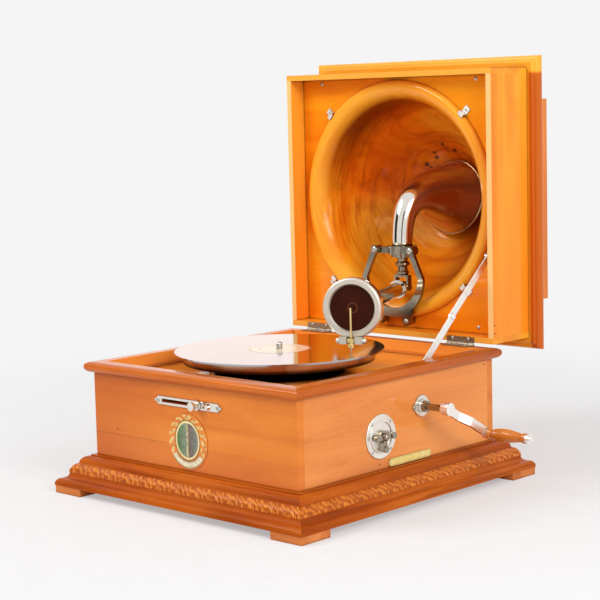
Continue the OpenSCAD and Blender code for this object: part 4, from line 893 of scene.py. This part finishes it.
class GRAMOPHONE_OT_horn_elbow(bpy.types.Operator):
    """Spins up the smooth nickelled elbow with the bead round its mouth"""
    bl_idname = "gramophone.horn_elbow"
    bl_label = "Form the horn elbow"

    def execute(self, context):
        settings = context.scene.gramophone
        shape = bmesh.new()
        made = bmesh.ops.create_grid(shape, x_segments=48, y_segments=72, size=1)
        for vert in made["verts"]:
            t, angle = (vert.co.x + 1) / 2, (vert.co.y + 1) * math.pi
            place, radius = elbow_station(t)
            ahead = (elbow_station(t + 0.01)[0] - elbow_station(t - 0.01)[0]).normalized()
            across = Vector((ahead.y, -ahead.x))
            flat = place + across * radius * math.sin(angle)
            vert.co = (radius * math.cos(angle), flat.x, flat.y)
        bmesh.ops.remove_doubles(shape, verts=shape.verts, dist=1e-5)
        bmesh.ops.recalc_face_normals(shape, faces=shape.faces)
        bmesh.ops.solidify(shape, geom=shape.faces[:], thickness=ELBOW_WALL * MM)
        self.add_bead(shape, settings.elbow.bead)
        bmesh.ops.recalc_face_normals(shape, faces=shape.faces)
        # the plating gets a painted reflection of the bowl at the back, where it turns into the bowl, and so it
        # is browner there
        skin = plated("elbow_nickel", settings.metals.nickel, 0.08,
                      fade=(1, 0.224, 0.242, (0.58, 0.39, 0.18), 0.95))
        add_piece("horn_elbow_skin", shape, skin, "lid", replaces=["horn_elbow"])
        return {"FINISHED"}

    def add_bead(self, shape, bead):
        end, radius = elbow_station(1)
        ahead = (end - elbow_station(0.99)[0]).normalized()
        centre, axis = Vector((0, end.x, end.y)), Vector((0, ahead.x, ahead.y))
        ring = bmesh.ops.create_circle(shape, segments=12, radius=bead)["verts"]
        up = Vector((1, 0, 0))
        turn = Matrix((up, axis, up.cross(axis))).transposed()
        for vert in ring:
            vert.co = centre + up * (radius - 0.6 * MM) + turn @ Vector((vert.co.x, vert.co.y, 0))
        edges = [e for e in shape.edges if e.verts[0] in ring and e.verts[1] in ring]
        bmesh.ops.spin(shape, geom=ring + edges, cent=centre, axis=axis, angle=2 * math.pi, steps=96,
                       use_merge=True)


class GRAMOPHONE_OT_studio(bpy.types.Operator):
    """Sets out the floor, the soft lamps and the camera"""
    bl_idname = "gramophone.studio"
    bl_label = "Set out the studio"

    def execute(self, context):
        scene, settings = context.scene, context.scene.gramophone.studio
        scene.view_settings.view_transform = "Standard"
        self.lay_floor(settings.backdrop)
        self.light_surround(scene, settings)
        self.hang_lamp(scene, "left_softbox", (-1.3, -1.7, 1.9), (0, 0, 0.2), 1.2, settings.key_light)
        self.hang_lamp(scene, "right_softbox", (2.0, -0.6, 1.3), (0, 0.05, 0.2), 1.0, settings.fill_light)
        # screens that only the metal and the polish show: painted reflections, two dark and one pale that glows
        dark = screen_cloth("dark_screen_cloth", linear(56, 42, 36))
        pale = screen_cloth("pale_screen_cloth", (0.95, 0.83, 0.79), 0.72)
        self.stand_screen("left_screen", (-2.0, -2.2, 0.9), (0.9, 1.3), dark)
        self.stand_screen("front_screen", (1.75, -2.55, 0.8), (0.3, 1.1), dark)
        self.stand_screen("back_screen", (-1.75, 1.75, 0.55), (1.0, 0.5), pale)
        self.set_camera(scene)
        return {"FINISHED"}

    def lay_floor(self, backdrop):
        shape = bmesh.new()
        bmesh.ops.create_circle(shape, cap_ends=True, segments=64, radius=9)
        bmesh.ops.translate(shape, verts=shape.verts, vec=(0, 0, -0.3 * MM))
        new_object("studio_floor", shape, floor_paint("pale_floor", backdrop))

    def light_surround(self, scene, settings):
        """Soft light from all round, which the camera, metal and glass see as the plain backdrop."""
        world = bpy.data.worlds.new("soft_surround")
        scene.world = world
        world.use_nodes = True
        nodes = SurroundNodes(world)
        lit = nodes.tree.nodes["Background"]
        nodes.fill(lit, {"Color": (1, 1, 1), "Strength": settings.soft_light})
        seen = nodes.add("Background", {"Color": (settings.backdrop,) * 3, "Strength": 1.0})
        mixed = nodes.add("MixShader", {0: seen_directly(nodes), 1: lit.outputs[0], 2: seen.outputs[0]})
        nodes.fill(nodes.tree.nodes["World Output"], {"Surface": mixed.outputs[0]})

    def hang_lamp(self, scene, name, place, target, width, power):
        light = bpy.data.lights.new(name, "AREA")
        light.shape = "SQUARE"
        light.size = width
        light.energy = power
        lamp = bpy.data.objects.new(name, light)
        lamp.location = place
        lamp.rotation_euler = (Vector(target) - Vector(place)).to_track_quat("-Z", "Y").to_euler()
        scene.collection.objects.link(lamp)

    def stand_screen(self, name, place, half, cloth):
        shape = bmesh.new()
        bmesh.ops.create_grid(shape, x_segments=1, y_segments=1, size=1)
        facing = Vector((-place[0], -place[1], 0.0)).to_track_quat("Z", "Y").to_matrix().to_4x4()
        spread = Matrix.Translation(place) @ facing @ Matrix.Diagonal((*half, 1, 1))
        bmesh.ops.transform(shape, matrix=spread, verts=shape.verts)
        screen = new_object(name, shape, cloth)
        # the screens are painted reflections, which neither the camera nor diffuse light nor shadow sees
        screen.visible_camera = screen.visible_diffuse = screen.visible_shadow = False

    def set_camera(self, scene):
        lens = bpy.data.cameras.new("photo_camera")
        lens.sensor_fit = "HORIZONTAL"
        lens.sensor_width = CAMERA_SENSOR
        lens.lens = CAMERA_LENS
        lens.clip_start = 0.05
        lens.clip_end = 60
        camera = bpy.data.objects.new("photo_camera", lens)
        camera.matrix_world = Matrix.Translation(CAMERA_PLACE) @ Matrix(CAMERA_AXES).transposed().to_4x4()
        scene.collection.objects.link(camera)
        scene.camera = camera


OPERATORS = (
    GRAMOPHONE_OT_woods,
    GRAMOPHONE_OT_metals,
    GRAMOPHONE_OT_carved_band,
    GRAMOPHONE_OT_record_label,
    GRAMOPHONE_OT_horn_elbow,
    GRAMOPHONE_OT_studio,
)


class GRAMOPHONE_PT_panel(bpy.types.Panel):
    """Lists the sizes and colours, and the steps that dress the gramophone"""
    bl_label = "Gramophone"
    bl_idname = "GRAMOPHONE_PT_panel"
    bl_space_type = "VIEW_3D"
    bl_region_type = "UI"
    bl_category = "Gramophone"

    def draw(self, context):
        settings = context.scene.gramophone
        for part in GramophoneSettings.__annotations__:
            group = getattr(settings, part)
            box = self.layout.box()
            for name in type(group).__annotations__:
                box.prop(group, name)
        for operator in OPERATORS:
            self.layout.operator(operator.bl_idname)


SETTINGS = (WoodSettings, MetalSettings, CarvingSettings, RecordSettings, ElbowSettings, StudioSettings,
            GramophoneSettings)
CLASSES = SETTINGS + OPERATORS + (GRAMOPHONE_PT_panel,)


def register():
    for each in CLASSES:
        bpy.utils.register_class(each)
    bpy.types.Scene.gramophone = bpy.props.PointerProperty(type=GramophoneSettings)


def unregister():
    del bpy.types.Scene.gramophone
    for each in reversed(CLASSES):
        bpy.utils.unregister_class(each)


def main():
    register()
    bpy.ops.gramophone.woods()
    bpy.ops.gramophone.metals()
    bpy.ops.gramophone.carved_band()
    bpy.ops.gramophone.record_label()
    bpy.ops.gramophone.horn_elbow()
    bpy.ops.gramophone.studio()


if __name__ == "__main__":
    main()
